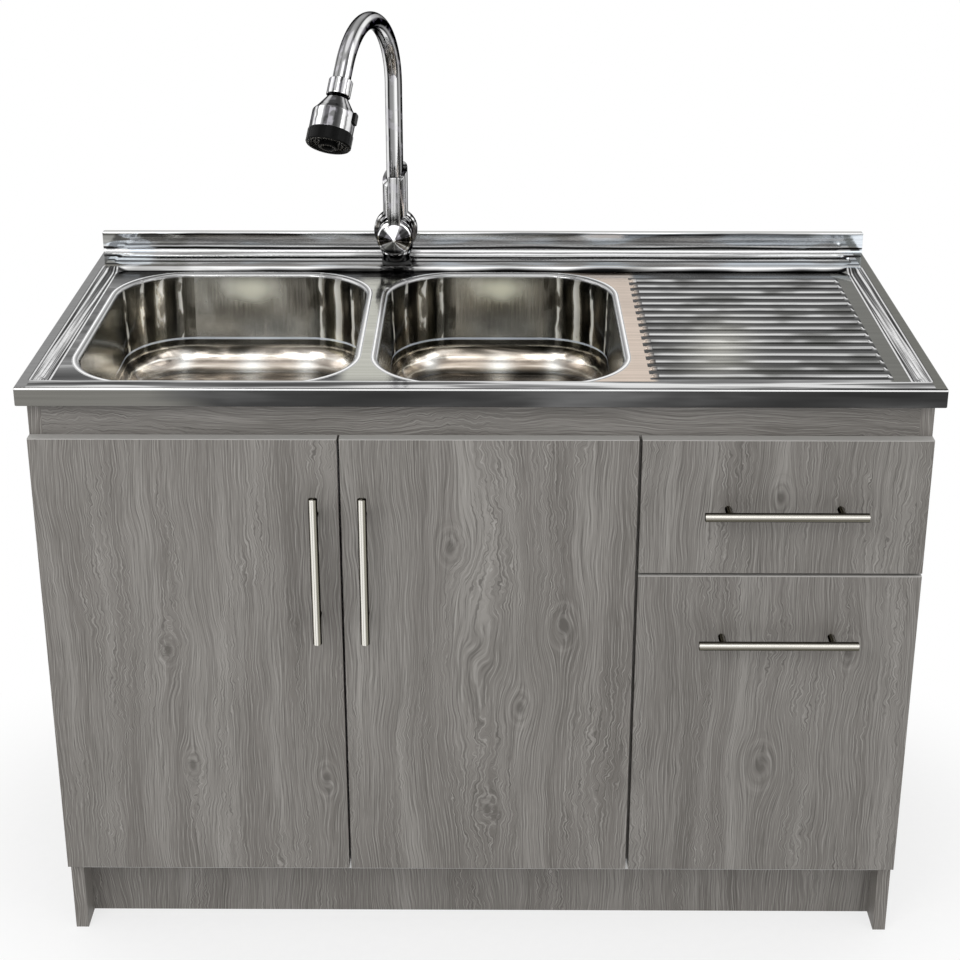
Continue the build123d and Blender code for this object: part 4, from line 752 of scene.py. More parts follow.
def bowl_wall_tone(s, away_x, away_y, z, corner_x, corner_y):
    """Walls in painted reflections: a grey back with a warm painted glow, dull sides, and crisp upright
    streaks round each corner.
    """
    swing = s.math("ARCTAN2", s.math("MAXIMUM", corner_y, 0.0), s.math("MAXIMUM", corner_x, 0.0))
    swing = s.times(swing, 2 / math.pi)
    bend = s.spread((away_x, 12.0), (z, 16.0), (away_y, 12.0), 2.0)
    swing = s.add(swing, s.waver(bend, 0.1))
    streaks = s.ramp(
        swing,
        (0.0, (0.26, 0.25, 0.22)), (0.12, (0.05, 0.05, 0.04)), (0.15, (0.95, 0.94, 0.88)),
        (0.18, (1.0, 1.0, 0.95)), (0.2, (0.06, 0.06, 0.05)), (0.3, (0.3, 0.29, 0.26)),
        (0.41, (0.4, 0.39, 0.35)), (0.43, (1.0, 1.0, 0.96)), (0.46, (1.0, 1.0, 0.96)),
        (0.48, (0.03, 0.03, 0.025)), (0.58, (0.12, 0.115, 0.1)), (0.61, (0.85, 0.84, 0.78)),
        (0.68, (1.0, 1.0, 0.97)), (0.71, (0.16, 0.155, 0.13)), (0.8, (0.04, 0.04, 0.035)),
        (0.84, (0.8, 0.8, 0.76)), (0.87, (1.0, 1.0, 0.96)), (0.89, (0.2, 0.2, 0.18)),
        (0.98, (0.55, 0.55, 0.52)),
    )
    breaks = s.patches((swing, 9.0), (away_x, 3.0), (z, 26.0), 2.0)
    streaks = s.mix(s.smooth(breaks, 0.45, 0.85, 0.0, 0.75), streaks, (0.16, 0.155, 0.135))
    cloud = s.patches((away_x, 13.0), (away_y, 6.0), (z, 11.0), 3.0)
    back = s.ramp(
        cloud,
        (0.0, (0.42, 0.42, 0.41)), (0.35, (0.58, 0.58, 0.56)), (0.6, (0.68, 0.68, 0.65)),
        (1.0, (0.84, 0.84, 0.8)),
    )
    # A warm painted glow in the middle of the back wall.
    glow = s.spot((away_x, 0.002, 0.042), (z, 0.826, 0.03))
    back = s.mix(s.times(glow, 0.9), back, (1.0, 1.0, 0.86))
    tone = s.mix(s.past(corner_x, 0.0, -0.0005), streaks, back)
    side = s.mix(cloud, (0.16, 0.155, 0.13), (0.56, 0.545, 0.46))
    tone = s.mix(s.times(s.past(corner_y, 0.0, -0.0005), s.smooth(away_y, -0.2, -0.19)), tone, side)
    # The front walls are painted nearly white, painted light that the back walls mirror.
    return s.mix(s.smooth(away_y, -0.13, -0.17), tone, (0.97, 0.96, 0.92))


def bowl_floor_tone(s, place, away_x, away_y, z, corner_x):
    """Floor and cove in painted reflections: nested bright lines that follow the cove, and a warm band with
    painted sparkles.
    """
    flow = s.level(s.noise(s.scaled(place, (7.0, 22.0, 34.0)), 1.0, 3.0, 0.6, 0.4))
    tone = s.ramp(
        flow,
        (0.1, (0.03, 0.028, 0.022)), (0.35, (0.12, 0.11, 0.095)), (0.55, (0.34, 0.31, 0.275)),
        (0.75, (0.72, 0.665, 0.6)), (0.95, (1.0, 0.97, 0.92)),
    )
    step = s.add(z, s.waver(flow, 0.004))
    lines = s.ramp(
        s.linear(step, 0.7, 0.745),
        (0.0, 0.0), (0.1, 0.0), (0.14, 1.0), (0.19, 0.0), (0.36, 0.0), (0.4, 0.9), (0.45, 0.0), (0.7, 0.0),
        (0.74, 1.0), (0.8, 0.0),
    )
    tone = s.mix(s.times(lines, s.smooth(corner_x, -0.05, 0.0, 0.25, 0.9)), tone, (1.0, 0.98, 0.92))
    band = s.times(s.band(z, 0.7025, 0.716, 0.004), s.smooth(away_y, 0.1, 0.14))
    tone = s.mix(s.times(band, 0.5), tone, (0.8, 0.7, 0.61))
    for spot_x, spot_z, size in ((-0.105, 0.712, 0.012), (0.085, 0.708, 0.015), (0.0, 0.706, 0.02)):
        painted_sparkle = s.spot((away_x, spot_x, size), (z, spot_z, 0.012))
        tone = s.mix(s.times(painted_sparkle, s.smooth(away_y, 0.05, 0.1)), tone, (1.0, 0.99, 0.96))
    return tone


def steel_bowl(name, middle_x, width, depth):
    """Polished bowl under its rim, with the painted reflection streaks of its walls, cove and floor."""
    made, s = material(name)
    place = s.place()
    x, y, z = s.apart(place)
    away_x = s.add(x, -middle_x * MM)
    away_y = s.add(y, -BOWL_Y * MM)
    corner_x = s.add(s.math("ABSOLUTE", away_x), -(width / 2 - BOWL_CORNER) * MM)
    corner_y = s.add(s.math("ABSOLUTE", away_y), -(BOWL_LENGTH / 2 - BOWL_CORNER) * MM)
    wall = bowl_wall_tone(s, away_x, away_y, z, corner_x, corner_y)
    # A painted highlight line where the cove meets the wall, with a dark painted line just below it.
    cove_highlight = s.times(s.band(z, 0.744, 0.7475, 0.0008), s.smooth(away_y, 0.0, 0.12))
    wall = s.mix(cove_highlight, wall, (0.84, 0.9, 1.0))
    under = s.times(s.band(z, 0.736, 0.7435, 0.001), s.smooth(away_y, 0.0, 0.12))
    wall = s.mix(s.times(under, 0.8), wall, (0.07, 0.07, 0.06))
    floor = bowl_floor_tone(s, place, away_x, away_y, z, corner_x)
    tone = s.mix(s.past(z, COVE_TOP, 0.0015), floor, wall)

    # Painted reflection lines over the rim.
    reach_x = s.math("MAXIMUM", corner_x, 0.0)
    reach_y = s.math("MAXIMUM", corner_y, 0.0)
    out = s.add(s.length(reach_x, reach_y), -BOWL_CORNER * MM)
    rim = s.ramp(
        s.linear(out, 0.0, RIM_REACH),
        (0.0, 0.1), (0.08, 0.4), (0.22, 0.55), (0.34, 0.16), (0.46, 0.28), (0.58, 0.5), (0.7, 1.0),
        (0.84, 1.0), (0.9, 0.3), (0.97, 0.6),
    )
    tone = s.deepen(tone, depth)
    # The whitest painted reflection streaks of the walls are partly matt, so that they catch light.
    matt = s.times(s.smooth(tone, 0.55, 0.95), s.smooth(z, 0.738, 0.746))
    metal = s.linear(matt, 0.0, 1.0, 1.0, 0.35)
    tone = s.mix(s.smooth(out, -0.0008, 0.0004), tone, rim)
    fine = s.noise(s.scaled(place, (400.0, 400.0, 9.0)), 1.0, 2.0)
    rough = s.smooth(fine, 0.3, 0.7, 0.14, 0.22)
    s.surface(Base_Color=tone, Metallic=metal, Roughness=rough, Normal=s.bump(fine, 0.03, 0.0004))
    return made


def plain_steel():
    """Turned and pressed stainless for the strainers and baskets."""
    made, s = material("steel_fitting")
    place = s.place()
    mottle = s.noise(place, 90.0, 3.0)
    colour = s.ramp(mottle, (0.3, 0.4), (0.7, 0.66))
    rough = s.smooth(s.noise(place, 900.0, 2.0), 0.3, 0.7, 0.16, 0.28)
    s.surface(Base_Color=colour, Metallic=1.0, Roughness=rough, Normal=s.bump(mottle, 0.1, 0.0005))
    return made


def chrome(name, stops, waver=0.02, rings=()):
    """Mirror plate with painted reflections: dark and light streaks round each turned piece, and rings of
    one level across it.
    """
    made, s = material(name)
    u, v, _ = s.apart(s.place("UV"))
    sway = s.spread((v, 5.0), (u, 2.0), len(stops) * 1.7, 3.0)
    turn = s.math("FRACT", s.add(s.add(u, 1.0), s.waver(sway, waver)))
    tone = s.ramp(turn, *stops)
    # Soft bluish painted reflections in patches.
    cloud = s.noise(s.place(), 70.0, 2.0)
    tone = s.mix(s.smooth(cloud, 0.5, 0.62, 0.0, 0.3), tone, (0.6, 0.58, 0.64))
    tone = s.deepen(tone, 1.1)
    for low, high, level in rings:
        tone = s.mix(s.band(v, low, high, 0.004), tone, (level, level, level))
    fine = s.noise(s.place(), 300.0, 2.0)
    rough = s.smooth(fine, 0.3, 0.7, 0.05, 0.09)
    bump = s.bump(fine, 0.03, 0.0005)
    s.surface(Base_Color=tone, Metallic=1.0, Roughness=rough, Specular_Tint=DARK_EDGE, Normal=bump)
    return made


def satin_nickel(name, stops):
    """Brushed handle metal with painted reflections, bright along its front and dark at its sides, with fine
    lines along the bar.
    """
    made, s = material(name)
    u, v, _ = s.apart(s.place("UV"))
    brush = s.spread((u, 160.0), (v, 3.0), 0.0, 2.0)
    speck = s.noise(s.place(), 1500.0, 2.0)
    tone = s.ramp(s.math("FRACT", s.add(u, s.waver(brush, 0.03))), *stops)
    rough = s.smooth(brush, 0.3, 0.7, 0.2, 0.32)
    bump = s.bump(speck, 0.06, 0.0002)
    s.surface(Base_Color=tone, Metallic=1.0, Roughness=rough, Specular_Tint=DARK_EDGE, Normal=bump)
    return made


def zinc():
    made, s = material("zinc_plate")
    place = s.place()
    spangle = s.node("TexVoronoi", {"Vector": place, "Scale": 260.0}).outputs["Distance"]
    colour = s.ramp(spangle, (0.0, (0.42, 0.44, 0.46)), (0.8, (0.62, 0.63, 0.64)))
    rough = s.smooth(s.noise(place, 500.0, 2.0), 0.3, 0.7, 0.28, 0.42)
    s.surface(Base_Color=colour, Metallic=1.0, Roughness=rough, Normal=s.bump(spangle, 0.1, 0.0003))
    return made


def plastic(name, dark, light, roughness, shine=0.5, grain=900.0):
    """Moulded plastic or rubber with a fine grain."""
    made, s = material(name)
    place = s.place()
    cloud = s.noise(place, 30.0, 3.0)
    texture = s.noise(place, grain, 2.0)
    colour = s.ramp(cloud, (0.3, dark), (0.7, light))
    rough = s.smooth(texture, 0.3, 0.7, roughness - 0.06, roughness + 0.06)
    bump = s.bump(texture, 0.15, 0.0003)
    s.surface(Base_Color=colour, Roughness=rough, Specular_IOR_Level=shine, Normal=bump)
    return made


def knot_flow(s, across, along, knots, ovals):
    """How far each knot pushes the grain aside, and how dark each knot's eye is."""
    bent = across
    eyes = 0.0
    rings = 0.0
    for knot_x, knot_z, size in (*knots, *ovals):
        off_x = s.add(across, -knot_x * MM)
        wide, long = (0.9, 3.4) if (knot_x, knot_z, size) in ovals else (1.0, 1.7)
        across_part = (across, knot_x * MM, size * MM * wide)
        along_part = (along, knot_z * MM, size * MM * long)
        near = s.math("SQRT", s.squares(across_part, along_part))
        pull = s.math("EXPONENT", s.times(s.math("POWER", near, 2.0), -0.3))
        bent = s.add(bent, s.times(s.times(off_x, pull), -0.85))
        if (knot_x, knot_z, size) in knots:
            rings = s.add(rings, s.times(pull, s.math("SINE", s.times(near, 9.0))))
            eyes = s.math("MAXIMUM", eyes, s.smooth(near, 0.1, 0.75, 1.0, 0.0))
    return bent, eyes, rings


def wood(name, shift, knots=(), ovals=(), flat=False, level=1.0, edge=None):
    """Grey oak film: broad streaks, fine lines along the grain each with a painted highlight and painted
    shadow as if embossed, wavy figure, and soft dark knots. A board with an edge height gets a painted
    highlight along its top edge."""
    made, s = material(name)
    x, y, z = s.apart(s.place())
    across, along = (s.add(z, y), x) if flat else (s.add(x, s.add(y, FRONT_FACE * -MM)), z)
    bent, eyes, rings = knot_flow(s, across, along, knots, ovals)
    sway = s.spread((across, 6.0), shift, (along, 3.4), 3.0)
    bent = s.add(bent, s.waver(sway, 0.06))
    broad = s.patches((bent, 26.0), shift, (along, 1.3), 3.0, 0.62)
    cloud = s.patches((across, 8.0), shift + 8.0, (along, 4.0), 3.0)
    figured = s.patches((bent, 15.0), shift + 3.0, (along, 3.2), 2.0)
    figured = s.smooth(figured, 0.45, 0.75)
    kink = s.add(s.spread((across, 60.0), shift, (along, 55.0), 2.0), -0.5)
    bent = s.add(bent, s.times(s.times(kink, figured), 0.016))
    coarse = s.spread((bent, 200.0), shift, (along, 8.0), 1.0)
    lines = s.spread((bent, 400.0), shift, (along, 15.0), 2.0, 0.5)
    beside = s.spread((s.add(bent, 0.0006), 400.0), shift, (along, 15.0), 2.0, 0.5)
    emboss_shading = s.add(lines, s.times(beside, -1.0))
    fibres = s.patches((bent, 620.0), shift, (along, 12.0), 2.0, 0.6)
    tone = s.ramp(
        broad,
        (0.05, (0.15, 0.138, 0.125)), (0.35, (0.196, 0.182, 0.167)), (0.65, (0.236, 0.222, 0.205)),
        (0.95, (0.3, 0.285, 0.265)),
    )
    tone = s.mix(s.smooth(cloud, 0.3, 0.9, 0.0, 0.4), tone, (0.158, 0.147, 0.132))
    tone = s.mix(s.smooth(coarse, 0.46, 0.3, 0.0, 0.38), tone, (0.11, 0.1, 0.089))
    # The grain lines are the film's own; each also gets a painted shadow on one side and a painted highlight
    # on the other, as if embossed.
    tone = s.mix(s.smooth(emboss_shading, -0.02, -0.13, 0.0, 0.62), tone, (0.08, 0.073, 0.065))
    tone = s.mix(s.smooth(emboss_shading, 0.02, 0.13, 0.0, 0.5), tone, (0.42, 0.405, 0.38))
    tone = s.mix(s.smooth(fibres, 0.4, 0.0, 0.0, 0.35), tone, (0.095, 0.087, 0.077))
    tone = s.mix(s.smooth(fibres, 0.65, 1.0, 0.0, 0.25), tone, (0.38, 0.365, 0.34))
    if knots:
        tone = s.mix(s.smooth(rings, 0.25, 0.8, 0.0, 0.3), tone, (0.11, 0.101, 0.09))
        tone = s.mix(s.smooth(rings, -0.25, -0.8, 0.0, 0.2), tone, (0.36, 0.345, 0.32))
        tone = s.mix(s.times(eyes, 0.62), tone, (0.088, 0.08, 0.071))
    tone = s.mix(1.0, tone, (level, level, level), "MULTIPLY")
    # A painted highlight along the board's top edge.
    if edge:
        tone = s.mix(s.smooth(z, edge * MM - 0.0012, edge * MM - 0.0004), tone, (0.46, 0.45, 0.43))
    height = s.add(s.times(lines, 1.0), s.times(fibres, 0.25))
    rough = s.linear(fibres, 0.0, 1.0, 0.5, 0.62)
    s.surface(Base_Color=tone, Roughness=rough, Normal=s.bump(height, 0.2, 0.0006))
    return made


# ------------------------------------------------------------------------------ sink top
def top_section():
    """The rolled section from the foot of the fascia over the lip and upstand to the back's foot."""
    return rounded([
        (FRONT, FASCIA_LOW + HEM_ROLL, 0), (FRONT, LIP, EDGE_ROLL), (UPSTAND_FACE, LIP, EDGE_ROLL),
        (UPSTAND_FACE, UPSTAND_TOP, EDGE_ROLL), (BACK, UPSTAND_TOP, EDGE_ROLL),
        (BACK, FASCIA_LOW + HEM_ROLL, 0),
    ])


def pocket(skin, deep, low_z, wide, width_change, front_change, back_change, corners):
    """A slope that eases from the lip down to a pocket's floor. Gives the floor's outline."""
    front, back = deep
    upper = outline(0, (front + back) / 2, 2 * wide, back - front, corners[0])
    inner_front = front + front_change
    inner_back = back - back_change
    lower = outline(
        0,
        (inner_front + inner_back) / 2,
        2 * (wide - width_change),
        inner_back - inner_front,
        corners[1],
    )
    rows = []
    steps = 10
    for index in range(steps + 1):
        share = index / steps
        drop = (1 - math.cos(math.pi * share)) / 2 * (LIP - low_z)
        row = []
        for above, below in zip(upper, lower):
            run = math.dist(above[:2], below[:2])
            slope = math.pi / 2 * math.sin(math.pi * share) * (LIP - low_z) / run
            place = (
                above[0] + (below[0] - above[0]) * share,
                above[1] + (below[1] - above[1]) * share,
                LIP - drop,
            )
            row.append(skin.point(place, (-above[2] * slope, -above[3] * slope, 1)))
        rows.append(row)
    skin.strip(rows)
    return upper, lower


def bowl_profile():
    """(outwards from the opening, height) from the floor up the wall and over the rim to the deck."""
    lean = (RIM_TOP - BOWL_FLOOR) * math.tan(BOWL_DRAFT)
    return rounded([
        (-lean - BOWL_COVE - 1, BOWL_FLOOR, 0), (-lean, BOWL_FLOOR, BOWL_COVE), (0, RIM_TOP, RIM_ROLL),
        (RIM_WIDTH, RIM_TOP, 1.0), (RIM_WIDTH + 0.8, DECK, 0.6), (WELD_OUT, DECK, 0),
    ])


def outline_row(skin, loop, height, lean, rise):
    """Points along an outline at one height, with normals that lean out of it and rise."""
    return [skin.point((x, y, height), (lean * nx, lean * ny, rise)) for x, y, nx, ny in loop]


def bowl_rows(skin, middle_x, width, profile):
    rows = []
    outlines = []
    for out, height, lean, rise in profile:
        grow = 2 * out
        loop = outline(middle_x, BOWL_Y, width + grow, BOWL_LENGTH + grow, BOWL_CORNER + out, BOWL_STEPS)
        outlines.append(loop)
        rows.append(outline_row(skin, loop, height, lean, rise))
    skin.strip(rows)
    return outlines


def rib_profile():
    """(half width, height) up the side of a rib, with a small fillet at its foot."""
    reach = RIB_RADIUS + RIB_FOOT
    rise = DECK + RIB_FOOT - RIB_CENTRE
    foot_x = math.sqrt(reach**2 - rise**2)
    meet = math.atan2(rise, foot_x)
    line = []
    for index in range(4):
        angle = -math.pi / 2 - (math.pi / 2 - meet) * index / 3
        place = (foot_x + RIB_FOOT * math.cos(angle), DECK + RIB_FOOT + RIB_FOOT * math.sin(angle))
        line.append((*place, -math.cos(angle), -math.sin(angle)))
    for index in range(1, 9):
        angle = meet + (math.pi / 2 - meet) * index / 8
        line.append(
            (
                RIB_RADIUS * math.cos(angle),
                RIB_CENTRE + RIB_RADIUS * math.sin(angle),
                math.cos(angle),
                math.sin(angle),
            )
        )
    return line


def rib(skin, middle_y):
    rows = []
    edge = []
    for half, height, lean, rise in rib_profile():
        row = []
        for end, start in ((1, -90), (0, 90)):
            for index in range(9):
                angle = math.radians(start + 180 * index / 8)
                out = (math.cos(angle), math.sin(angle))
                place = (RIB_X[end] + half * out[0], middle_y + half * out[1], height)
                row.append(skin.point(place, (lean * out[0], lean * out[1], rise)))
                if not rows:
                    edge.append(place[:2])
        rows.append(row)
    skin.strip(rows)
    return edge


def make_sink_top(steel):
    skin = Skin()
    section = top_section()
    inner = HALF_WIDTH - END_ROLL
    ends = {}
    for side in (-1, 1):
        rows = []
        for index in range(7):
            angle = math.pi / 2 * index / 6
            back = END_ROLL * (1 - math.cos(angle))
            x = side * (inner + END_ROLL * math.sin(angle))
            rows.append(
                [
                    skin.point(
                        (x, y - ny * back, z - nz * back),
                        (side * math.sin(angle), ny * math.cos(angle), nz * math.cos(angle)),
                    )
                    for y, z, ny, nz in section
                ]
            )
        ends[side] = rows[0]
        skin.strip(rows, closed=False)
        wall = [(y - ny * END_ROLL, z - nz * END_ROLL) for y, z, ny, nz in section]
        skin.flat(wall[::-1], [], lambda y, z, s=side: (s * HALF_WIDTH, y, z), (side, 0, 0))
    # The lip is left out of the long strips, because it has the two pockets in it.
    lip = [i for i, (y, z, ny, nz) in enumerate(section) if abs(z - LIP) < 1e-6 and nz > 0.999]
    before = slice(0, lip[0] + 1)
    after = slice(lip[-1], len(section))
    for part in (before, after):
        skin.strip([ends[-1][part], ends[1][part]], closed=False)

    deck_edge, deck_floor = pocket(skin, deep=(FRONT + 26, BACK - 88), low_z=DECK, **DECK_POCKET)
    ledge_edge, ledge_floor = pocket(skin, deep=(BACK - 80, BACK - 20), low_z=LEDGE, **LEDGE_POCKET)
    lip_front = section[lip[0]][0]
    lip_back = section[lip[-1]][0]
    lip_frame = [(-inner, lip_front), (inner, lip_front), (inner, lip_back), (-inner, lip_back)]
    skin.flat(lip_frame, [deck_edge, ledge_edge], lambda x, y: (x, y, LIP), UP)

    holes = []
    for middle_x, width in BOWLS.values():
        grow = 2 * WELD_OUT
        holes.append(
            outline(middle_x, BOWL_Y, width + grow, BOWL_LENGTH + grow, BOWL_CORNER + WELD_OUT, BOWL_STEPS)
        )
    holes += [rib(skin, y) for y in RIB_YS]
    skin.flat(deck_floor, holes, lambda x, y: (x, y, DECK), UP)
    tap_hole = circle(TAP_X, TAP_Y, TAP_HOLE, 32)
    skin.flat(ledge_floor, [tap_hole], lambda x, y: (x, y, LEDGE), UP)

    hem = rounded([(0, FASCIA_LOW + HEM_ROLL, 0), (0, FASCIA_LOW, HEM_ROLL), (-HEM, FASCIA_LOW, 0)])
    rows = []
    for out, height, lean_out, rise in hem:
        width = 2 * HALF_WIDTH + 2 * out
        length = BACK - FRONT + 2 * out
        loop = outline(0, (FRONT + BACK) / 2, width, length, max(END_ROLL + out, 0.01), 6)
        rows.append(outline_row(skin, loop, height, lean_out, rise))
    skin.strip(rows)
    skin.thicken(SHEET)
    skin.piece("sink_deck", steel, "cabinet", "stainless", "sink_top")


def make_bowls():
    for name, (middle_x, width) in BOWLS.items():
        skin = Skin()
        floor = bowl_rows(skin, middle_x, width, bowl_profile())[0]
        drain = circle(DRAINS[name], BOWL_Y, DRAIN, 48)
        skin.flat(floor, [drain], lambda x, y: (x, y, BOWL_FLOOR), UP)
        skin.thicken(SHEET)
        steel = steel_bowl(name + "_steel", middle_x, width, DEPTHS[name])
        skin.piece(name + "_pressing", steel, "cabinet", "stainless", name)


# ------------------------------------------------------------------------------ tap
def slanted(place, normal):
    """Shears the socket's mouth so that it slopes down to the front left."""
    if place.z < MOUTH_Z - 30:
        return place, normal
    lean_x = MOUTH_LEAN * math.sin(MOUTH_HEADING)
    lean_y = MOUTH_LEAN * math.cos(MOUTH_HEADING)
    rise = lean_x * (place.x - TAP_X) + lean_y * (place.y - TAP_Y)
    sheared = Vector((normal.x - lean_x * normal.z, normal.y - lean_y * normal.z, normal.z))
    return place + UP * rise, sheared


def make_turned(name, material, body, slot, node, profile, origin, axis, around):
    """One turned piece that stands for one node."""
    skin = Skin()
    skin.turned(profile, origin, axis, around)
    skin.piece(name, material, body, slot, node)


def make_tap_body(chrome_body, chrome_drum):
    column = rounded([
        (TAP_SEAT, 12.0, 0), (TAP_SEAT, 20.5, 0.8), (TAP_SEAT + 6, 20.5, 1.5), (TAP_SEAT + 19, 25.5, 3.0),
        (TAP_SEAT + 65, 25.5, 2.5), (TAP_SEAT + 71, 19.3, 2.0), (MOUTH_Z, 19.3, 0.7), (MOUTH_Z, 13.3, 0.5),
        (MOUTH_Z - 20, 13.3, 0),
    ])
    skin = Skin()
    skin.turned(column, Vector((TAP_X, TAP_Y, 0)), UP, 96, slanted)
    skin.piece("tap_column", chrome_body, "cabinet", "chrome", "tap_body")
    drum = rounded([
        (0, 22.0, 0), (0, 26.5, 0.8), (26, 26.5, 0.8), (26, 33.5, 2.5), (42, 33.5, 2.5), (42, 26.5, 0.8),
        (56, 26.5, 2.5), (56, 0, 0),
    ])
    skin = Skin()
    skin.turned(drum, PIVOT, -FORWARD, 96)
    dome = [
        (25 * math.sin(a), 25 * math.cos(a), math.sin(a), math.cos(a))
        for a in (math.pi / 2 * i / 12 for i in range(13))
    ]
    skin.turned(dome, PIVOT, FORWARD, 96)
    skin.piece("tap_drum", chrome_drum, "cabinet", "chrome")


def make_lever(chrome_cap, chrome_stick):
    cap = rounded([
        (12.0, 22.6, 0), (12.0, 27.0, 0.8), (15.9, 27.0, 1.2), (28.6, 2.6, 1.2), (29.4, 1.6, 0.5),
        (29.4, 0, 0),
    ])
    make_turned("lever_cap", chrome_cap, "lever_lift", "chrome", "lever", cap, PIVOT, FORWARD, 96)
    root = PIVOT + FORWARD * 16 + UP * 18
    tip = PIVOT + FORWARD * 12 + UP * 95
    along = (tip - root).normalized()
    across = Vector((1, 0, 0))
    beyond = along.cross(across)
    end_round = 2.4
    wide = 19.0
    thickness = 6.0
    length = (tip - root).length
    stations = [(0.0, 0.0, 0.0)]
    for index in range(7):
        angle = math.pi / 2 * index / 6
        inset = end_round * (1 - math.cos(angle))
        stations.append((length - end_round + end_round * math.sin(angle), inset, math.sin(angle)))
    skin = Skin()
    rows = []
    for reach, inset, lean in stations:
        widen = 1 - 0.06 * reach / length
        width = wide * widen - 2 * inset
        thick = thickness - 2 * inset
        row = []
        for x, y, nx, ny in outline(0, 0, width, thick, min(2.6, thick / 2 - 0.02), 6):
            place = root + along * reach + across * x + beyond * y
            normal = (across * nx + beyond * ny) * math.sqrt(1 - lean**2) + along * lean
            row.append(skin.point(place, normal, (x / wide, reach / length)))
        rows.append(row)
    skin.strip(rows)
    skin.face([skin.point(skin.points[c], along) for c in rows[-1]])
    skin.piece("lever_stick", chrome_stick, "lever_lift", "chrome")


def spout_route():
    heading = Vector((-math.sin(SPOUT_TURN), -math.cos(SPOUT_TURN), 0))
    base = Vector((TAP_X, TAP_Y, 0))
    route = [(base + UP * SPOUT_FOOT, UP), (base + UP * ARC_Z, UP)]
    centre = base + heading * ARC_RADIUS + UP * ARC_Z
    steps = 60
    for index in range(1, steps + 1):
        angle = ARC_SWEEP * index / steps
        spoke = -heading * math.cos(angle) + UP * math.sin(angle)
        route.append((centre + spoke * ARC_RADIUS, heading * math.sin(angle) + UP * math.cos(angle)))
    end, direction = route[-1]
    route.append((end + direction * SPOUT_STRAIGHT, direction))
    return route


def make_spray(head_chrome, collar_chrome, black):
    end, direction = spout_route()[-1]
    collar = rounded([(-4, 13.0, 0), (-4, 17.0, 1.5), (20, 17.0, 1.5), (20, 9.5, 0)])
    route_end = (end, direction)
    make_turned("collar_sleeve", collar_chrome, "spout", "chrome", "spray_collar", collar, *route_end, 72)

    shell = rounded([
        (24.5, 9.5, 0), (24.5, 16.0, 1.2), (40.0, 26.0, 9.0), (46.0, 31.0, 5.0), (75.0, 31.0, 0.8),
        (75.0, 28.0, 0),
    ])
    make_turned("spray_bell", head_chrome, "spray_head", "chrome", "spray_shell", shell, *route_end, 96)

    def fluted(place, normal):
        """Presses upright grip grooves into the side of the black ring."""
        reach = (place - end).dot(direction)
        spoke = place - end - direction * reach
        if spoke.length < 31.5 or reach < 77.5 or reach > 92.5:
            return place, normal
        angle = math.atan2(spoke.dot(first), spoke.dot(second))
        wave = max(0.0, math.cos(angle * 30))
        return place - spoke.normalized() * 0.9 * wave**2, normal

    first = direction.orthogonal().normalized()
    second = direction.cross(first)
    ring = rounded([
        (75.0, 27.0, 0), (75.0, 32.0, 0.8), (77.4, 32.0, 0), (77.8, 32.0, 0), (92.0, 32.0, 0),
        (94.0, 30.6, 0.8), (94.0, 27.0, 0.8), (91.6, 25.4, 0.8), (91.0, 13.2, 0),
    ])
    skin = Skin()
    skin.turned(ring, end, direction, 240, fluted)
    for count, distance in ((12, 17.0), (20, 22.4)):
        for index in range(count):
            angle = 2 * math.pi * index / count
            spoke = first * math.cos(angle) + second * math.sin(angle)
            pin = rounded([(0, 1.3, 0), (2.2, 1.1, 0.4), (2.2, 0, 0)])
            skin.turned(pin, end + direction * 90.9 + spoke * distance, direction, 10)
    skin.piece("spray_grip", black, "spray_head", "black_plastic", "spray_ring")

    nozzle = rounded([
        (88.0, 13.0, 0), (96.9, 13.0, 1.0), (96.9, 9.0, 0.8), (95.0, 8.0, 0.5), (95.0, 6.0, 0.5),
        (90.0, 6.0, 0),
    ])
    head = "spray_head"
    make_turned("nozzle_insert", black, head, "black_plastic", "spray_nozzle", nozzle, *route_end, 64)

    out = BUTTON_FACING
    side = direction.cross(out).normalized()
    middle = end + direction * 52.0
    skin = Skin()
    rows = []
    foot = 27.5
    top = 33.5
    edge = 1.2
    stations = [(foot, 0.0, 0.0)]
    for index in range(6):
        angle = math.pi / 2 * index / 5
        stations.append((top - edge + edge * math.sin(angle), edge * (1 - math.cos(angle)), math.sin(angle)))
    for height, inset, lean in stations:
        row = []
        for x, y, nx, ny in outline(0, 0, 17.0 - 2 * inset, 13.0 - 2 * inset, 3.0 - inset * 0.8, 6):
            place = middle + out * height + direction * x + side * y
            normal = (direction * nx + side * ny) * math.sqrt(1 - lean**2) + out * lean
            row.append(skin.point(place, normal))
        rows.append(row)
    skin.strip(rows)
    skin.face([skin.point(skin.points[c], out) for c in rows[-1]])
    skin.piece("button_cap", black, "spray_button", "black_plastic", "spray_button")


def make_spout(metal):
    skin = Skin()
    skin.swept(spout_route(), SPOUT_RADIUS)
    skin.piece("spout_pipe", metal, "spout", "chrome", "spout_tube")


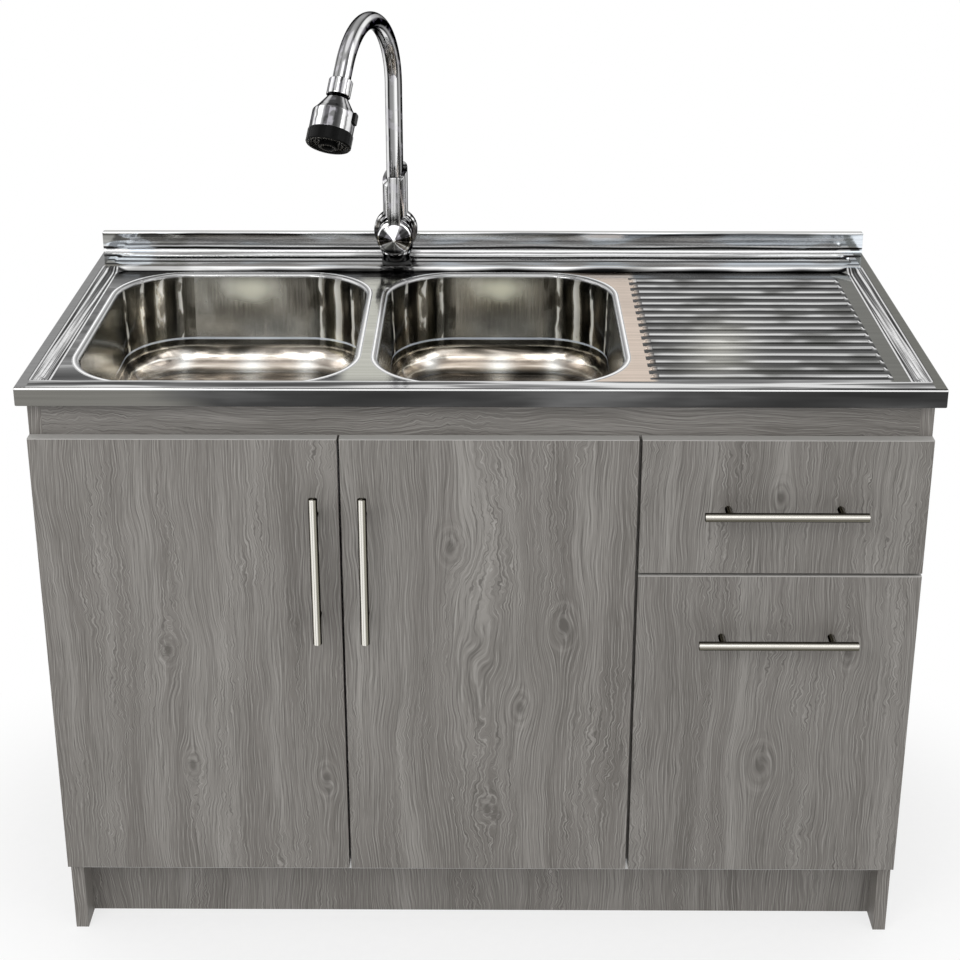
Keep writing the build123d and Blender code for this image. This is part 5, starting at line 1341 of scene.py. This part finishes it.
# ------------------------------------------------------------------------------ handles
def make_handles(door_metal, drawer_metal):
    half = BAR_LENGTH / 2
    bar = rounded([
        (-half, 0, 0), (-half, 4.2, 0), (-half + 0.3, 4.5, 0), (-half, 4.8, 0), (-half, BAR_RADIUS, 0.8),
        (half, BAR_RADIUS, 0.8), (half, 4.8, 0), (half - 0.3, 4.5, 0), (half, 4.2, 0), (half, 0, 0),
    ])
    for body in ("door_left", "door_middle", "drawer_upper", "drawer_lower"):
        low, high = span(body + "_handle_bar")
        middle = (low + high) / 2
        upright = high.z - low.z > high.x - low.x
        axis = UP if upright else Vector((1, 0, 0))
        metal = door_metal if upright else drawer_metal
        skin = Skin()
        skin.turned(bar, middle, axis, 48)
        skin.piece(body + "_bar", metal, body, "satin_nickel", body + "_handle_bar")
        _, post_high = span(body + "_handle_posts")
        skin = Skin()
        for side in (-1, 1):
            foot = middle + axis * side * POST_SPACING / 2
            foot.y = post_high.y
            reach = post_high.y - middle.y
            post = rounded([(0, POST_RADIUS, 0), (reach, POST_RADIUS, 0)])
            skin.turned(post, foot, FORWARD, 32)
        skin.piece(body + "_posts", metal, body, "satin_nickel", body + "_handle_posts")


# ------------------------------------------------------------------------------ CAD nodes that stay
def dress(made, *nodes):
    for name in nodes:
        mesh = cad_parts[name].data
        mesh.materials.clear()
        mesh.materials.append(made)


def dress_cabinet():
    fronts = {
        "door_left": ((-425, 471, 13), (-401, 287, 12), (-215, 266, 14)),
        "door_middle": ((-40, 626, 15), (55, 381, 14), (112, 508, 18), (10, 216, 13)),
        "drawer_upper_front": ((395, 700, 13),),
        "drawer_lower_front": ((390, 290, 20), (500, 470, 13)),
    }
    ovals = {"door_middle": ((0, 516, 34),)}
    for index, (name, knots) in enumerate(fronts.items()):
        level = 0.88 if name.startswith("drawer") else 0.94
        top = span(name)[1].z
        dress(wood("oak_" + name, 1.7 * index, knots, ovals.get(name, ()), False, level, top), name)
    dress(wood("oak_legs", 9.3), "side_panel_left", "side_panel_right", "divider_panel")
    dress(wood("oak_kick", 12.1, level=0.9), "kick_board")
    dress(wood("oak_rail", 15.4, flat=True, level=0.82), "rails")
    white = plastic("white_melamine", (0.66, 0.66, 0.65), (0.72, 0.72, 0.71), 0.42)
    dress(white, "bottom_panel", "back_panel", "sink_battens")
    for drawer in ("drawer_upper", "drawer_lower"):
        dress(white, drawer + "_sides", drawer + "_back", drawer + "_bottom")


def dress_fittings(metal):
    dress(metal, "strainers", "basket_left", "basket_right")
    plate = zinc()
    dress(plate, "hinge_plates", "hinge_arms", "runner_outer")
    dress(plate, "drawer_upper_runner_middle", "drawer_lower_runner_middle")
    dress(plate, "drawer_upper_runner_inner", "drawer_lower_runner_inner")
    dress(plate, "door_left_hinge_cups", "door_middle_hinge_cups", "tap_nut", "tap_shank")
    rubber = plastic("black_rubber", (0.02, 0.02, 0.02), (0.035, 0.035, 0.034), 0.62)
    dress(rubber, "strainer_gaskets", "tap_gasket")
    pipe = plastic("white_pipe", (0.72, 0.72, 0.7), (0.8, 0.8, 0.78), 0.34)
    dress(pipe, "waste_nuts", "cross_pipe", "waste_tee", "trap", "tap_cartridge")


# ------------------------------------------------------------------------------ build
bpy.context.scene.view_settings.view_transform = "Standard"
make_camera()
make_world()
make_floor()
make_lamp("key", (-1.6, -2.6, 2.9), (0, 0, 0.6), (1.6, 1.2), 28.0)
make_lamp("fill", (2.2, -1.8, 2.2), (0, 0, 0.6), (1.4, 1.4), 9.0)

make_sink_top(steel_top())
make_bowls()
column_chrome = chrome("chrome_column", COLUMN_REFLECTIONS, 0.05, COLUMN_REFLECTION_RINGS)
make_tap_body(column_chrome, chrome("chrome_drum", HEAD_REFLECTIONS, 0.05))
make_lever(chrome("chrome_cap", CAP_REFLECTIONS, 0.02, CAP_REFLECTION_RINGS), chrome("chrome_stick", COLUMN_REFLECTIONS, 0.03))
make_spout(chrome("chrome_spout", TUBE_REFLECTIONS, 0.03))
black = plastic("black_plastic", (0.003, 0.003, 0.003), (0.007, 0.007, 0.007), 0.2, 0.06)
make_spray(chrome("chrome_head", HEAD_REFLECTIONS, 0.03), chrome("chrome_collar", COLUMN_REFLECTIONS, 0.03), black)
make_handles(
    satin_nickel("door_bar_nickel", DOOR_BAR_REFLECTIONS),
    satin_nickel("drawer_bar_nickel", DRAWER_BAR_REFLECTIONS),
)
dress_cabinet()
dress_fittings(plain_steel())
dress(chrome("chrome_small", COLUMN_REFLECTIONS), "spray_ball", "lever_spindle")
